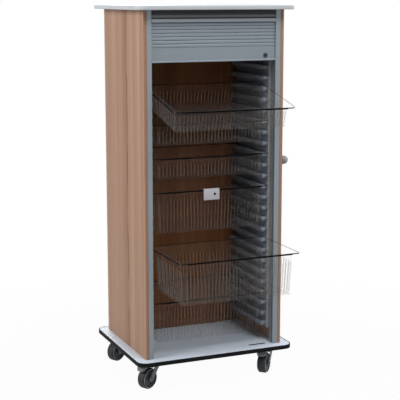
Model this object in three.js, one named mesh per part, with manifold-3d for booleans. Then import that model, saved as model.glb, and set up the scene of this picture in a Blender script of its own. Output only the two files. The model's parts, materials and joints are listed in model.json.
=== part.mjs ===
// Mobile basket cabinet for a classroom store: a laminated carcass on four swivel castors,
// a roller shutter at the front and six clear baskets that slide on moulded runner panels.
// Millimetres, +Z up, +X to the right and +Y to the back. The floor is Z = 0.

import * as THREE from 'three';
import * as BufferGeometryUtils from 'three/addons/utils/BufferGeometryUtils.js';
import Module from 'manifold-3d';

const wasm = await Module();
wasm.setup();

// Gaps between pieces
const FIT = 0.3;
const SLIDE_FIT = 0.5;
const MERGE_TOLERANCE = 1e-4;
const OVERCUT = 1;

// Carcass
const BODY_WIDTH = 700;
const BODY_DEPTH = 550;
const SIDE_THICKNESS = 16;
const BACK_THICKNESS = 8;
const FALSE_BACK_THICKNESS = 6;
const FALSE_BACK_LIFT = 30;
const CURTAIN_BAY = 90;
const CEILING_THICKNESS = 12;
const CEILING_DROP = 58;
const CEILING_SETBACK = 58;

// Worktop and deck
const WORKTOP_THICKNESS = 20;
const WORKTOP_OVERHANG = 47;
const WORKTOP_CORNER_RADIUS = 45;
const WORKTOP_EDGE_ROUND = 3;
const DECK_THICKNESS = 20;
const DECK_OVERHANG = 45;
const DECK_CORNER_RADIUS = 42;
const DECK_EDGE_ROUND = 1.2;
const BUMPER_THICKNESS = 4;
const BUMPER_HEIGHT = 20;
const BUMPER_EDGE_ROUND = 1.5;

// Front posts with their shutter channel
const POST_WIDTH = 24;
const POST_DEPTH = 30;
const POST_FRONT_LIP = 10;
const POST_EDGE_ROUND = 3;
const CHANNEL_DEPTH = 16;

// Roller shutter
const SLAT_THICKNESS = 10;
const SLAT_PITCH = 32;
const SLAT_GROOVE = 2.4;
const SLAT_MID_GROOVE = 1.2;
const SLAT_GROOVE_WIDTH = 4;
const CURTAIN_SLATS = 4;
const UPPER_SLATS = 3;
const CURTAIN_TOP_DROP = 40;
const CURTAIN_END_GAP = 3;
const UPPER_SLAT_END_GAP = 1;
const RAIL_HEIGHT = 67;
const RAIL_LIP_HEIGHT = 9;
const RAIL_LIP_REACH = 8;
const RAIL_LIP_END_GAP = 5;
const RAIL_LIP_SLOPE = 2;
const RAIL_LIP_ROUND = 2;
const PELMET_HEIGHT = 38;
const PELMET_THICKNESS = 6;
const PELMET_SETBACK = 2;
const PELMET_BAND_HEIGHT = 19;
const PELMET_BAND_REACH = 2;
const PELMET_BAND_GROOVES = 3;
const PELMET_BAND_GROOVE = 1.6;
const CURTAIN_BEND_RADIUS = 45;
const STORED_DROP = 900;
const STORED_START_GAP = 2;
const TRACK_WALL = 3;

// Lock in the shutter rail
const LOCK_FROM_POST = 50;
const LOCK_RISE = 24;
const LOCK_DIAMETER = 16;
const LOCK_PROUD = 3;
const KEY_SLOT_LENGTH = 9;
const KEY_SLOT_WIDTH = 2;
const KEY_SLOT_DEPTH = 1.5;
const ROSETTE_DIAMETER = 24;
const ROSETTE_THICKNESS = 2;
const RAIL_FACE = 3;
const BOLT_WIDTH = 12;
const BOLT_THICKNESS = 3.5;
const BOLT_LENGTH = 30;
const BOLT_RECESS = 1;
const BOLT_ROUND = 2;
const STRIKE_LENGTH = 88;
const STRIKE_WIDTH = 9;
const STRIKE_THICKNESS = 1.5;
const STRIKE_SLOT_MARGIN = 2.5;
const STRIKE_OFFSET = 26;

// Runner panels
const FIRST_LEDGE = 95;
const LEDGE_PITCH = 52.5;
const LEDGE_HEIGHT = 21;
const LEDGE_REACH = 28;
const RUNNER_PLATE = 8;
const RUNNER_SETBACK = 70;
const RUNNER_REAR_GAP = 6;
const RUNNER_END_MARGIN = 14;
const RUNNER_SIDE_CLEARANCE = 10;
const RUNNER_RIB_WIDTH = 14;
const RUNNER_RIB_INSET = 62;
const RUNNER_FLANGE = 3;
const LOWER_PANEL_LEDGES = 14;
const LEDGES_ABOVE_TOP_BASKET = 5;
const TOP_SPACE = 102.5;

// Baskets: rises are counted in ledges from the basket below
const BASKET_SIDE_CLEARANCE = 9.7;
const BASKET_FRONT_SETBACK = 32;
const BASKET_REAR_CLEARANCE = 14;
const BASKET_WALL = 3;
const BASKET_RIM = 24;
const BASKET_RIM_THICKNESS = 4;
const BASKET_RIM_CORNER = 16;
const BASKET_CORNER = 18;
const BASKET_DRAFT = 0.04;
const SLOT_WIDTH = 12;
const SLOT_PITCH = 48;
const SLOT_END_MARGIN = 34;
const SLOT_FOOT_MARGIN = 16;
const SHALLOW = 100;
const SHALLOW_BAND = 26;
const DEEP = 200;
const DEEP_BAND = 42;
const PULLED_OUT = 329;
const PULLED_TO_TIP = 272;
const TILT_DEGREES = 13.5;
const BASKETS = [
  { name: 'basket_deep_bottom', rise: 3, height: DEEP, pull: 0, tilt: 0 },
  { name: 'basket_deep_middle', rise: 5, height: DEEP, pull: PULLED_OUT, tilt: 0, divided: true },
  { name: 'basket_deep_upper', rise: 5, height: DEEP, pull: 0, tilt: 0, labelled: true },
  { name: 'basket_shallow_lower', rise: 3, height: SHALLOW, pull: 0, tilt: 0 },
  { name: 'basket_shallow_middle', rise: 3, height: SHALLOW, pull: 0, tilt: 0 },
  { name: 'basket_shallow_top', rise: 3, height: SHALLOW, pull: PULLED_TO_TIP, tilt: TILT_DEGREES },
];
const DIVIDER_THICKNESS = 3;
const DIVIDER_HEIGHT = 150;
const LABEL_WIDTH = 80;
const LABEL_HEIGHT = 52;
const LABEL_THICKNESS = 2.5;
const LABEL_HOOK = 14;
const LABEL_OFFSET = -4;
const LABEL_ROUND = 2;

// Push handle on the right side
const HANDLE_RISE = 893;
const HANDLE_REACH = 70;
const HANDLE_DIAMETER = 28;
const HANDLE_START = 64;
const HANDLE_LENGTH = 400;
const HANDLE_BRACKET_INSET = 10;
const HANDLE_BRACKET_DEPTH = 22;
const HANDLE_BRACKET_FOOT = 60;
const HANDLE_RING = 6;
const HANDLE_FOOT_ROUND = 3;
const HANDLE_END_DOME = 7;

// Castors
const CASTOR_HEIGHT = 128;
const CASTOR_INSET = 95;
const CASTOR_TRAIL = 38;
const WHEEL_DIAMETER = 100;
const WHEEL_WIDTH = 42;
const TYRE_DEPTH = 12;
const TYRE_ROUND = 7;
const TYRE_SHOULDER = 2.3;
const HUB_BORE_WALL = 8;
const HUB_WEB = 10;
const HUB_RIM_DEPTH = 7;
const AXLE_DIAMETER = 8;
const AXLE_HEAD_DIAMETER = 16;
const AXLE_HEAD = 4;
const FORK_WALL = 4.5;
const FORK_CLEARANCE = 3.5;
const FORK_BOSS = 13;
const FORK_CROWN = 11;
const FORK_CROWN_FRONT = 22.5;
const FORK_CROWN_REAR = 36;
const FORK_LEG_LEAN = 53;
const FORK_LEG_LENGTH = 62;
const FORK_ROOT_ROUND = 5;
const SWIVEL_DIAMETER = 60;
const PLATE_LENGTH = 92;
const PLATE_WIDTH = 72;
const PLATE_THICKNESS = 4;
const PLATE_CORNER = 8;
const PEDAL_WIDTH = 46;
const PEDAL_LENGTH = 62;
const PEDAL_ARM = 28;
const PEDAL_BEND_RADIUS = 10;
const PEDAL_TOP_GAP = 2;
const PEDAL_HEAD_GAP = 0.6;
const PEDAL_TONGUE = 6;
const PEDAL_THICKNESS = 13;
const PEDAL_HEEL_GAP = 2.5;
const PEDAL_DROP = 14;
const PEDAL_END_ROUND = 2;
const CASTORS = [
  { name: 'front_left', side: -1, front: true, turn: 29, brake: true },
  { name: 'front_right', side: 1, front: true, turn: 47, brake: true },
  { name: 'rear_left', side: -1, front: false, turn: 29, brake: false },
  { name: 'rear_right', side: 1, front: false, turn: 36, brake: false },
];

// Facets of round work
const ARC_STEPS = 3;
const ROUND_STEPS = 16;
const WHEEL_STEPS = 20;
const PIN_STEPS = 12;
const EDGE_STEPS = 1;

// Planes worked out from the sizes above
const deckBottom = CASTOR_HEIGHT;
const deckTop = deckBottom + DECK_THICKNESS;
const ledgeCount = 1 + LEDGES_ABOVE_TOP_BASKET + BASKETS.reduce((sum, basket) => sum + basket.rise, 0);
const carcassTop = deckTop + FIRST_LEDGE + (ledgeCount - 1) * LEDGE_PITCH + TOP_SPACE;
const sideInner = BODY_WIDTH / 2 - SIDE_THICKNESS;
const openingHalf = sideInner - FIT - POST_WIDTH;
const channelFloor = openingHalf + CHANNEL_DEPTH;
const channelFront = POST_FRONT_LIP;
const curtainFront = channelFront + SLIDE_FIT;
const curtainBack = curtainFront + SLAT_THICKNESS;
const channelBack = curtainBack + SLIDE_FIT;
const curtainHalf = channelFloor - CURTAIN_END_GAP;
const backPanelFront = BODY_DEPTH - BACK_THICKNESS;
const falseBackRear = backPanelFront - CURTAIN_BAY;
const falseBackFront = falseBackRear - FALSE_BACK_THICKNESS;
const curtainTop = carcassTop - CURTAIN_TOP_DROP;
const railTop = curtainTop - CURTAIN_SLATS * SLAT_PITCH - FIT;
const railBottom = railTop - RAIL_HEIGHT;
const basketHalf = openingHalf - BASKET_SIDE_CLEARANCE;
const basketDepth = falseBackFront - BASKET_REAR_CLEARANCE - BASKET_FRONT_SETBACK;
const runnerFace = basketHalf + RUNNER_SIDE_CLEARANCE;
const runnerRear = falseBackFront - RUNNER_REAR_GAP;

// Finishes
const FINISHES = {
  laminate: { color: 0xb08f78, roughness: 0.55, metalness: 0 },
  worktop: { color: 0xc3c8cd, roughness: 0.45, metalness: 0 },
  deck: { color: 0xd0d6de, roughness: 0.4, metalness: 0 },
  rubber: { color: 0x17181a, roughness: 0.7, metalness: 0 },
  grey_metal: { color: 0x858c94, roughness: 0.4, metalness: 0.5 },
  grey_plastic: { color: 0x7f858b, roughness: 0.5, metalness: 0 },
  clear_plastic: { color: 0xc9d2d6, roughness: 0.1, metalness: 0 },
  white_plastic: { color: 0xf0f0ee, roughness: 0.4, metalness: 0 },
  steel: { color: 0xb8bcc0, roughness: 0.3, metalness: 0.9 },
  fork: { color: 0x6c7072, roughness: 0.5, metalness: 0.2 },
  hub: { color: 0x9aa0a4, roughness: 0.5, metalness: 0 },
  tyre: { color: 0x2b2e31, roughness: 0.8, metalness: 0 },
};

const cabinet = new THREE.Group();

/** Adds one named piece to a group. */
function piece(name, geometry, finish, group = cabinet) {
  const mesh = new THREE.Mesh(geometry, new THREE.MeshStandardMaterial(FINISHES[finish]));
  mesh.name = name;
  group.add(mesh);
  return mesh;
}

/** Turns a closed geometry into a solid that can be joined and cut. */
function toSolid(geometry) {
  const bare = geometry.clone();
  bare.deleteAttribute('normal');
  bare.deleteAttribute('uv');
  const merged = BufferGeometryUtils.mergeVertices(bare, MERGE_TOLERANCE);
  return new wasm.Manifold(new wasm.Mesh({
    numProp: 3,
    vertProperties: Float32Array.from(merged.attributes.position.array),
    triVerts: Uint32Array.from(merged.index.array),
  }));
}

/** Turns a solid back into a geometry. */
function toGeometry(solid) {
  const mesh = solid.getMesh();
  const geometry = new THREE.BufferGeometry();
  geometry.setAttribute('position', new THREE.BufferAttribute(mesh.vertProperties, 3));
  geometry.setIndex(new THREE.BufferAttribute(mesh.triVerts, 1));
  return geometry;
}

/** Joins geometries that meet into one body. */
function join(...geometries) {
  return toGeometry(geometries.map(toSolid).reduce((body, tool) => body.add(tool)));
}

/** Cuts tool geometries out of a body. */
function cut(body, ...tools) {
  return toGeometry(tools.map(toSolid).reduce((rest, tool) => rest.subtract(tool), toSolid(body)));
}

/** A box between two corners. */
function block([x0, x1], [y0, y1], [z0, z1]) {
  const geometry = new THREE.BoxGeometry(x1 - x0, y1 - y0, z1 - z0);
  return geometry.translate((x0 + x1) / 2, (y0 + y1) / 2, (z0 + z1) / 2);
}

/** A span on one side of the cabinet, from the inner to the outer distance off the centre line. */
function span(side, inner, outer) {
  return side > 0 ? [inner, outer] : [-outer, -inner];
}

/** A closed outline through corners [x, y, radius], with each radius as an arc. */
function outline(corners) {
  const points = [];
  corners.forEach(([x, y, radius = 0], index) => {
    const here = new THREE.Vector2(x, y);
    if (radius === 0) {
      points.push(here);
      return;
    }
    const before = corners[(index + corners.length - 1) % corners.length];
    const after = corners[(index + 1) % corners.length];
    const back = new THREE.Vector2(before[0] - x, before[1] - y).normalize();
    const ahead = new THREE.Vector2(after[0] - x, after[1] - y).normalize();
    const half = Math.acos(THREE.MathUtils.clamp(back.dot(ahead), -1, 1)) / 2;
    const middle = back.clone().add(ahead).normalize();
    const centre = here.clone().addScaledVector(middle, radius / Math.sin(half));
    const start = here.clone().addScaledVector(back, radius / Math.tan(half)).sub(centre).angle();
    const end = here.clone().addScaledVector(ahead, radius / Math.tan(half)).sub(centre).angle();
    const sweep = Math.atan2(Math.sin(end - start), Math.cos(end - start));
    for (let step = 0; step <= ARC_STEPS; step += 1) {
      const angle = start + (sweep * step) / ARC_STEPS;
      points.push(new THREE.Vector2(Math.cos(angle), Math.sin(angle)).multiplyScalar(radius).add(centre));
    }
  });
  return new THREE.Shape(points);
}

/** A centred rectangle with round corners. */
function roundedRect(width, depth, radius) {
  const x = width / 2;
  const y = depth / 2;
  return outline([[-x, -y, radius], [x, -y, radius], [x, y, radius], [-x, y, radius]]);
}

/** A centred circle with the given number of sides. */
function circle(diameter, centre = [0, 0], steps = ROUND_STEPS) {
  const points = [];
  for (let step = 0; step < steps; step += 1) {
    const angle = (2 * Math.PI * step) / steps;
    const x = centre[0] + (Math.cos(angle) * diameter) / 2;
    const y = centre[1] + (Math.sin(angle) * diameter) / 2;
    points.push(new THREE.Vector2(x, y));
  }
  return new THREE.Shape(points);
}

/** Extrudes an XY outline upwards, with its edges rounded if asked. */
function extrudeUp(shape, [z0, z1], round = 0) {
  const geometry = new THREE.ExtrudeGeometry(shape, {
    depth: z1 - z0 - 2 * round,
    bevelEnabled: round > 0,
    bevelThickness: round,
    bevelSize: round,
    bevelOffset: -round,
    bevelSegments: EDGE_STEPS,
  });
  return geometry.translate(0, 0, z0 + round);
}

/** Extrudes an outline drawn in X and Z along Y. */
function extrudeBack(shape, [y0, y1]) {
  const geometry = new THREE.ExtrudeGeometry(shape, { depth: y1 - y0, bevelEnabled: false });
  return geometry.rotateX(Math.PI / 2).translate(0, y1, 0);
}

/** Extrudes an outline drawn in Y and Z along X. */
function extrudeAcross(shape, [x0, x1]) {
  const geometry = new THREE.ExtrudeGeometry(shape, { depth: x1 - x0, bevelEnabled: false });
  const across = new THREE.Matrix4().makeBasis(
    new THREE.Vector3(0, 1, 0),
    new THREE.Vector3(0, 0, 1),
    new THREE.Vector3(1, 0, 0),
  );
  return geometry.applyMatrix4(across).translate(x0, 0, 0);
}

/** Turns a profile of [radius, place along Y] about the Y axis. */
function turn(profile, steps = ROUND_STEPS) {
  return new THREE.LatheGeometry(profile.map(([r, y]) => new THREE.Vector2(r, y)), steps);
}

/** Worktop, deck, bumper, side panels, backs and ceiling. */
function buildCarcass() {
  const middle = BODY_DEPTH / 2;
  const board = (overhang, radius) => (
    roundedRect(BODY_WIDTH + 2 * overhang, BODY_DEPTH + 2 * overhang, radius)
  );
  const worktop = extrudeUp(
    board(WORKTOP_OVERHANG, WORKTOP_CORNER_RADIUS),
    [carcassTop, carcassTop + WORKTOP_THICKNESS],
    WORKTOP_EDGE_ROUND,
  );
  piece('worktop', worktop.translate(0, middle, 0), 'worktop');
  const deck = extrudeUp(board(DECK_OVERHANG, DECK_CORNER_RADIUS), [deckBottom, deckTop], DECK_EDGE_ROUND);
  piece('deck', deck.translate(0, middle, 0), 'deck');

  const ring = board(DECK_OVERHANG + BUMPER_THICKNESS, DECK_CORNER_RADIUS + BUMPER_THICKNESS);
  ring.holes.push(board(DECK_OVERHANG + FIT, DECK_CORNER_RADIUS + FIT));
  const bumperMiddle = (deckBottom + deckTop) / 2;
  const bumperSpan = [bumperMiddle - BUMPER_HEIGHT / 2, bumperMiddle + BUMPER_HEIGHT / 2];
  piece('deck_bumper', extrudeUp(ring, bumperSpan, BUMPER_EDGE_ROUND).translate(0, middle, 0), 'rubber');

  const tall = [deckTop + FIT, carcassTop - FIT];
  for (const [name, side] of [['side_panel_left', -1], ['side_panel_right', 1]]) {
    piece(name, block(span(side, sideInner, BODY_WIDTH / 2), [0, BODY_DEPTH], tall), 'laminate');
  }
  const inside = [-sideInner + FIT, sideInner - FIT];
  piece('outer_back_panel', block(inside, [backPanelFront, BODY_DEPTH], tall), 'laminate');
  const ceilingTop = carcassTop - CEILING_DROP;
  const ceilingBottom = ceilingTop - CEILING_THICKNESS;
  piece(
    'false_back_panel',
    block(inside, [falseBackFront, falseBackRear], [deckTop + FALSE_BACK_LIFT, ceilingBottom - FIT]),
    'laminate',
  );
  piece(
    'inner_ceiling',
    block(inside, [CEILING_SETBACK, falseBackRear], [ceilingBottom, ceilingTop]),
    'laminate',
  );
}

/** Front posts, each with a channel that guides the shutter's ends. */
function buildPosts() {
  for (const [name, side] of [['front_post_left', -1], ['front_post_right', 1]]) {
    const outer = side * (sideInner - FIT);
    const inner = side * openingHalf;
    const floor = side * channelFloor;
    const section = outline([
      [outer, 0],
      [inner, 0, POST_EDGE_ROUND],
      [inner, channelFront],
      [floor, channelFront],
      [floor, channelBack],
      [inner, channelBack],
      [inner, POST_DEPTH],
      [outer, POST_DEPTH],
    ]);
    piece(name, extrudeUp(section, [deckTop + FIT, carcassTop - FIT]), 'grey_metal');
  }
}

/** The front side of a slatted curtain: [depth below the face, place along the curtain] pairs. */
function slatFace(slats) {
  const face = [];
  for (let half = 1; half < slats * 2; half += 1) {
    const depth = half % 2 === 0 ? SLAT_GROOVE : SLAT_MID_GROOVE;
    const along = (half * SLAT_PITCH) / 2;
    face.push([0, along - SLAT_GROOVE_WIDTH / 2], [depth, along], [0, along + SLAT_GROOVE_WIDTH / 2]);
  }
  return face;
}

/** Pelmet and band over the shutter's mouth. */
function buildPelmet() {
  const between = [-openingHalf + FIT, openingHalf - FIT];
  const front = PELMET_SETBACK;
  const back = front + PELMET_THICKNESS;
  const bandTop = carcassTop - PELMET_HEIGHT;
  piece('pelmet', block(between, [front, back], [bandTop + FIT, carcassTop - FIT]), 'grey_metal');

  const bandFront = front - PELMET_BAND_REACH;
  const bandBottom = bandTop - PELMET_BAND_HEIGHT;
  const step = PELMET_BAND_HEIGHT / (PELMET_BAND_GROOVES + 1);
  const face = [[bandFront, bandBottom]];
  for (let groove = 1; groove <= PELMET_BAND_GROOVES; groove += 1) {
    const z = bandBottom + groove * step;
    face.push([bandFront, z - PELMET_BAND_GROOVE], [bandFront + PELMET_BAND_GROOVE, z]);
    face.push([bandFront, z + PELMET_BAND_GROOVE]);
  }
  const section = outline([...face, [bandFront, bandTop], [back, bandTop], [back, bandBottom]]);
  piece('pelmet_band', extrudeAcross(section, between), 'grey_metal');
}

/** The path of the curtain store, a band from the top run round the bend and down the rear bay. */
function storeBand(inset, front, foot) {
  const top = curtainTop + SLAT_THICKNESS + inset;
  const low = curtainTop - inset;
  const rear = falseBackRear + CURTAIN_BAY / 2 + SLAT_THICKNESS / 2 + inset;
  const inner = rear - SLAT_THICKNESS - 2 * inset;
  const outerRadius = CURTAIN_BEND_RADIUS + SLAT_THICKNESS + inset;
  const innerRadius = CURTAIN_BEND_RADIUS - inset;
  return outline([
    [front, low],
    [inner, low, innerRadius],
    [inner, foot],
    [rear, foot],
    [rear, top, outerRadius],
    [front, top],
  ]);
}

/** Shutter curtain, handle rail, the slats on the top run, the stored length and its tracks. */
function buildShutter() {
  const curtainFoot = railTop + FIT;
  const face = slatFace(CURTAIN_SLATS).map(([depth, along]) => [curtainFront + depth, curtainFoot + along]);
  const curtain = outline([
    [curtainFront, curtainFoot],
    ...face,
    [curtainFront, curtainTop],
    [curtainBack, curtainTop],
    [curtainBack, curtainFoot],
  ]);
  piece('shutter_curtain', extrudeAcross(curtain, [-curtainHalf, curtainHalf]), 'grey_metal');

  const upperStart = curtainBack + FIT;
  const upperEnd = curtainBack + UPPER_SLATS * SLAT_PITCH;
  const upperTop = curtainTop + SLAT_THICKNESS;
  const upperFace = slatFace(UPPER_SLATS).map(([depth, along]) => [curtainBack + along, upperTop - depth]);
  const upper = outline([
    [upperStart, curtainTop],
    [upperStart, upperTop],
    ...upperFace,
    [upperEnd, upperTop],
    [upperEnd, curtainTop],
  ]);
  const upperHalf = openingHalf - UPPER_SLAT_END_GAP;
  piece('shutter_upper_slats', extrudeAcross(upper, [-upperHalf, upperHalf]), 'grey_metal');

  const storeStart = upperEnd + STORED_START_GAP;
  const storeFoot = curtainTop - CURTAIN_BEND_RADIUS - STORED_DROP;
  const stored = extrudeAcross(storeBand(0, storeStart, storeFoot), [-curtainHalf, curtainHalf]);
  piece('stored_curtain', stored, 'grey_metal');
  for (const [name, side] of [['curtain_track_left', -1], ['curtain_track_right', 1]]) {
    const band = storeBand(SLIDE_FIT + TRACK_WALL, POST_DEPTH + FIT, storeFoot);
    const groove = storeBand(SLIDE_FIT, 0, storeFoot - TRACK_WALL);
    const track = cut(
      extrudeAcross(band, span(side, openingHalf, sideInner - FIT)),
      extrudeAcross(groove, span(side, 0, channelFloor)),
    );
    piece(name, track, 'grey_metal');
  }
}

/** Handle rail at the foot of the curtain, with its pull lip and the pocket of the lock. */
function buildRail() {
  const lockX = openingHalf - LOCK_FROM_POST;
  const lockZ = railBottom + LOCK_RISE;
  const bar = block([-curtainHalf, curtainHalf], [curtainFront, curtainBack], [railBottom, railTop]);
  const lipHalf = openingHalf - RAIL_LIP_END_GAP;
  const lipTop = railBottom + RAIL_LIP_HEIGHT;
  const lip = outline([
    [curtainFront - RAIL_LIP_REACH, railBottom, RAIL_LIP_ROUND],
    [curtainFront + RAIL_FACE, railBottom],
    [curtainFront + RAIL_FACE, lipTop],
    [curtainFront, lipTop],
    [curtainFront - RAIL_LIP_REACH, lipTop - RAIL_LIP_SLOPE, RAIL_LIP_ROUND],
  ]);
  const bore = extrudeBack(
    circle(LOCK_DIAMETER + 2 * FIT, [lockX, lockZ]),
    [curtainFront - OVERCUT, curtainBack + OVERCUT],
  );
  const guideHalf = BOLT_WIDTH / 2 + SLIDE_FIT;
  const boltFront = curtainBack - BOLT_THICKNESS - 2 * SLIDE_FIT;
  const guide = block(
    [lockX - guideHalf, lockX + guideHalf],
    [boltFront, curtainBack + OVERCUT],
    [railBottom - OVERCUT, railBottom + BOLT_RECESS + BOLT_LENGTH + SLIDE_FIT],
  );
  const rail = cut(join(bar, extrudeAcross(lip, [-lipHalf, lipHalf])), bore, guide);
  piece('shutter_rail', rail, 'grey_metal');

  const rosetteBack = curtainFront - FIT;
  const rosetteFront = rosetteBack - ROSETTE_THICKNESS;
  const rosette = circle(ROSETTE_DIAMETER, [lockX, lockZ]);
  rosette.holes.push(circle(LOCK_DIAMETER + 2 * FIT, [lockX, lockZ]));
  piece('lock_rosette', extrudeBack(rosette, [rosetteFront, rosetteBack]), 'steel');

  const barrelFront = curtainFront - LOCK_PROUD;
  const barrel = cut(
    extrudeBack(circle(LOCK_DIAMETER, [lockX, lockZ]), [barrelFront, boltFront]),
    block(
      [lockX - KEY_SLOT_WIDTH / 2, lockX + KEY_SLOT_WIDTH / 2],
      [barrelFront - OVERCUT, barrelFront + KEY_SLOT_DEPTH],
      [lockZ - KEY_SLOT_LENGTH / 2, lockZ + KEY_SLOT_LENGTH / 2],
    ),
  );
  piece('lock_barrel', barrel, 'steel');
  const boltFoot = railBottom + BOLT_RECESS;
  const bolt = outline([
    [lockX - BOLT_WIDTH / 2, boltFoot, BOLT_ROUND],
    [lockX + BOLT_WIDTH / 2, boltFoot, BOLT_ROUND],
    [lockX + BOLT_WIDTH / 2, boltFoot + BOLT_LENGTH],
    [lockX - BOLT_WIDTH / 2, boltFoot + BOLT_LENGTH],
  ]);
  const boltBack = curtainBack - SLIDE_FIT;
  piece('lock_bolt', extrudeBack(bolt, [boltBack - BOLT_THICKNESS, boltBack]), 'steel');

  const strike = roundedRect(STRIKE_LENGTH, STRIKE_WIDTH, STRIKE_WIDTH / 2 - FIT);
  const slotWidth = STRIKE_WIDTH - 2 * STRIKE_SLOT_MARGIN;
  strike.holes.push(roundedRect(STRIKE_LENGTH - 2 * STRIKE_SLOT_MARGIN, slotWidth, slotWidth / 2 - FIT));
  const strikeSpan = [deckTop + FIT, deckTop + FIT + STRIKE_THICKNESS];
  const strikeY = boltBack - BOLT_THICKNESS / 2;
  piece('strike_plate', extrudeUp(strike, strikeSpan).translate(lockX - STRIKE_OFFSET, strikeY, 0), 'rubber');
}

/** Moulded runner panels: a flanged plate with round-nosed ledges, stacked in two heights on each side. */
function buildRunners() {
  const ledgeTop = (level) => deckTop + FIRST_LEDGE + level * LEDGE_PITCH;
  const nose = LEDGE_HEIGHT / 2 - FIT;
  const panels = [
    ['lower', 0, LOWER_PANEL_LEDGES],
    ['upper', LOWER_PANEL_LEDGES, ledgeCount],
  ];
  for (const [sideName, side] of [['left', -1], ['right', 1]]) {
    for (const [height, first, end] of panels) {
      const foot = ledgeTop(first) - LEDGE_HEIGHT - RUNNER_END_MARGIN + FIT;
      const head = ledgeTop(end - 1) + LEDGE_PITCH - LEDGE_HEIGHT - RUNNER_END_MARGIN;
      const plate = span(side, runnerFace, runnerFace + RUNNER_PLATE);
      const bodies = [block(plate, [RUNNER_SETBACK, runnerRear], [foot, head])];
      const rib = span(side, runnerFace + RUNNER_PLATE / 2, sideInner - FIT);
      bodies.push(block(rib, [RUNNER_SETBACK, RUNNER_SETBACK + RUNNER_FLANGE], [foot, head]));
      const ribFront = RUNNER_SETBACK + RUNNER_RIB_INSET;
      const ribRear = runnerRear - RUNNER_RIB_INSET;
      bodies.push(block(rib, [ribFront, ribFront + RUNNER_RIB_WIDTH], [foot, head]));
      bodies.push(block(rib, [ribRear - RUNNER_RIB_WIDTH, ribRear], [foot, head]));
      const ledge = span(side, runnerFace - LEDGE_REACH, runnerFace + RUNNER_PLATE / 2);
      for (let level = first; level < end; level += 1) {
        const top = ledgeTop(level);
        const section = outline([
          [RUNNER_SETBACK, top - LEDGE_HEIGHT, nose],
          [runnerRear, top - LEDGE_HEIGHT],
          [runnerRear, top],
          [RUNNER_SETBACK, top, nose],
        ]);
        bodies.push(extrudeAcross(section, ledge));
      }
      piece(`runner_panel_${sideName}_${height}`, join(...bodies), 'grey_plastic');
    }
  }
}

/** A tub that narrows towards its floor: its top outline is the given one, its floor is drafted in. */
function draftedTub(width, depth, corner, [z0, z1], draft) {
  const geometry = extrudeUp(roundedRect(width, depth, corner), [z0, z1]);
  const place = geometry.attributes.position;
  for (let index = 0; index < place.count; index += 1) {
    const share = (z1 - place.getZ(index)) / (z1 - z0);
    const x = place.getX(index) * (1 - (2 * draft * share) / width);
    const y = place.getY(index) * (1 - (2 * draft * share) / depth);
    place.setXY(index, x, y);
  }
  return geometry;
}

/** Evenly pitched slot places that fit within a wall, centred on it. */
function slotPlaces(length) {
  const count = Math.max(1, Math.floor((length - 2 * SLOT_END_MARGIN) / SLOT_PITCH) + 1);
  return Array.from({ length: count }, (_, index) => (index - (count - 1) / 2) * SLOT_PITCH);
}

/** One clear basket about its own rim: X and Y centred, the underside of the rim at Z = 0. */
function basketGeometry(height) {
  const width = 2 * basketHalf;
  const depth = basketDepth;
  const tubWidth = width - 2 * BASKET_RIM;
  const tubDepth = depth - 2 * BASKET_RIM;
  const top = BASKET_RIM_THICKNESS;
  const foot = top - height;
  const draft = BASKET_DRAFT * height;
  const rim = extrudeUp(roundedRect(width, depth, BASKET_RIM_CORNER), [0, top]);
  const outer = draftedTub(tubWidth, tubDepth, BASKET_CORNER, [foot, top], draft);
  const inner = draftedTub(
    tubWidth - 2 * BASKET_WALL,
    tubDepth - 2 * BASKET_WALL,
    BASKET_CORNER - BASKET_WALL,
    [foot + BASKET_WALL, top + FIT],
    draft,
  );
  const band = height === DEEP ? DEEP_BAND : SHALLOW_BAND;
  const slotSpan = [foot + SLOT_FOOT_MARGIN, top - band];
  const half = SLOT_WIDTH / 2;
  const through = slotPlaces(tubWidth).map((x) => block([x - half, x + half], [-depth, depth], slotSpan));
  const across = slotPlaces(tubDepth).map((y) => block([-width, width], [y - half, y + half], slotSpan));
  return cut(
    join(rim, outer),
    inner,
    BufferGeometryUtils.mergeGeometries(through),
    BufferGeometryUtils.mergeGeometries(across),
  );
}

/** The clear plate that parts a basket from front to back. */
function dividerGeometry(height) {
  const draft = BASKET_DRAFT * height;
  const foot = BASKET_RIM_THICKNESS - height + BASKET_WALL + FIT;
  const topHalf = basketDepth / 2 - BASKET_RIM - BASKET_WALL - SLIDE_FIT;
  const lean = (z) => topHalf - (draft * (BASKET_RIM_THICKNESS - z)) / height;
  const head = foot + DIVIDER_HEIGHT;
  const corner = BASKET_CORNER - BASKET_WALL;
  const side = outline([
    [-lean(foot), foot],
    [lean(foot), foot],
    [lean(head), head, corner],
    [-lean(head), head, corner],
  ]);
  return extrudeAcross(side, [-DIVIDER_THICKNESS / 2, DIVIDER_THICKNESS / 2]);
}

/** The label holder that hooks over a basket's front rim. */
function labelGeometry() {
  const rimFront = -basketDepth / 2 - FIT;
  const rimTop = BASKET_RIM_THICKNESS + FIT;
  const front = rimFront - LABEL_THICKNESS;
  const head = rimTop + LABEL_THICKNESS;
  const section = outline([
    [front, head - LABEL_HEIGHT],
    [rimFront, head - LABEL_HEIGHT],
    [rimFront, rimTop],
    [rimFront + LABEL_HOOK, rimTop],
    [rimFront + LABEL_HOOK, head],
    [front, head, LABEL_ROUND],
  ]);
  return extrudeAcross(section, [LABEL_OFFSET - LABEL_WIDTH / 2, LABEL_OFFSET + LABEL_WIDTH / 2]);
}

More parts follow.
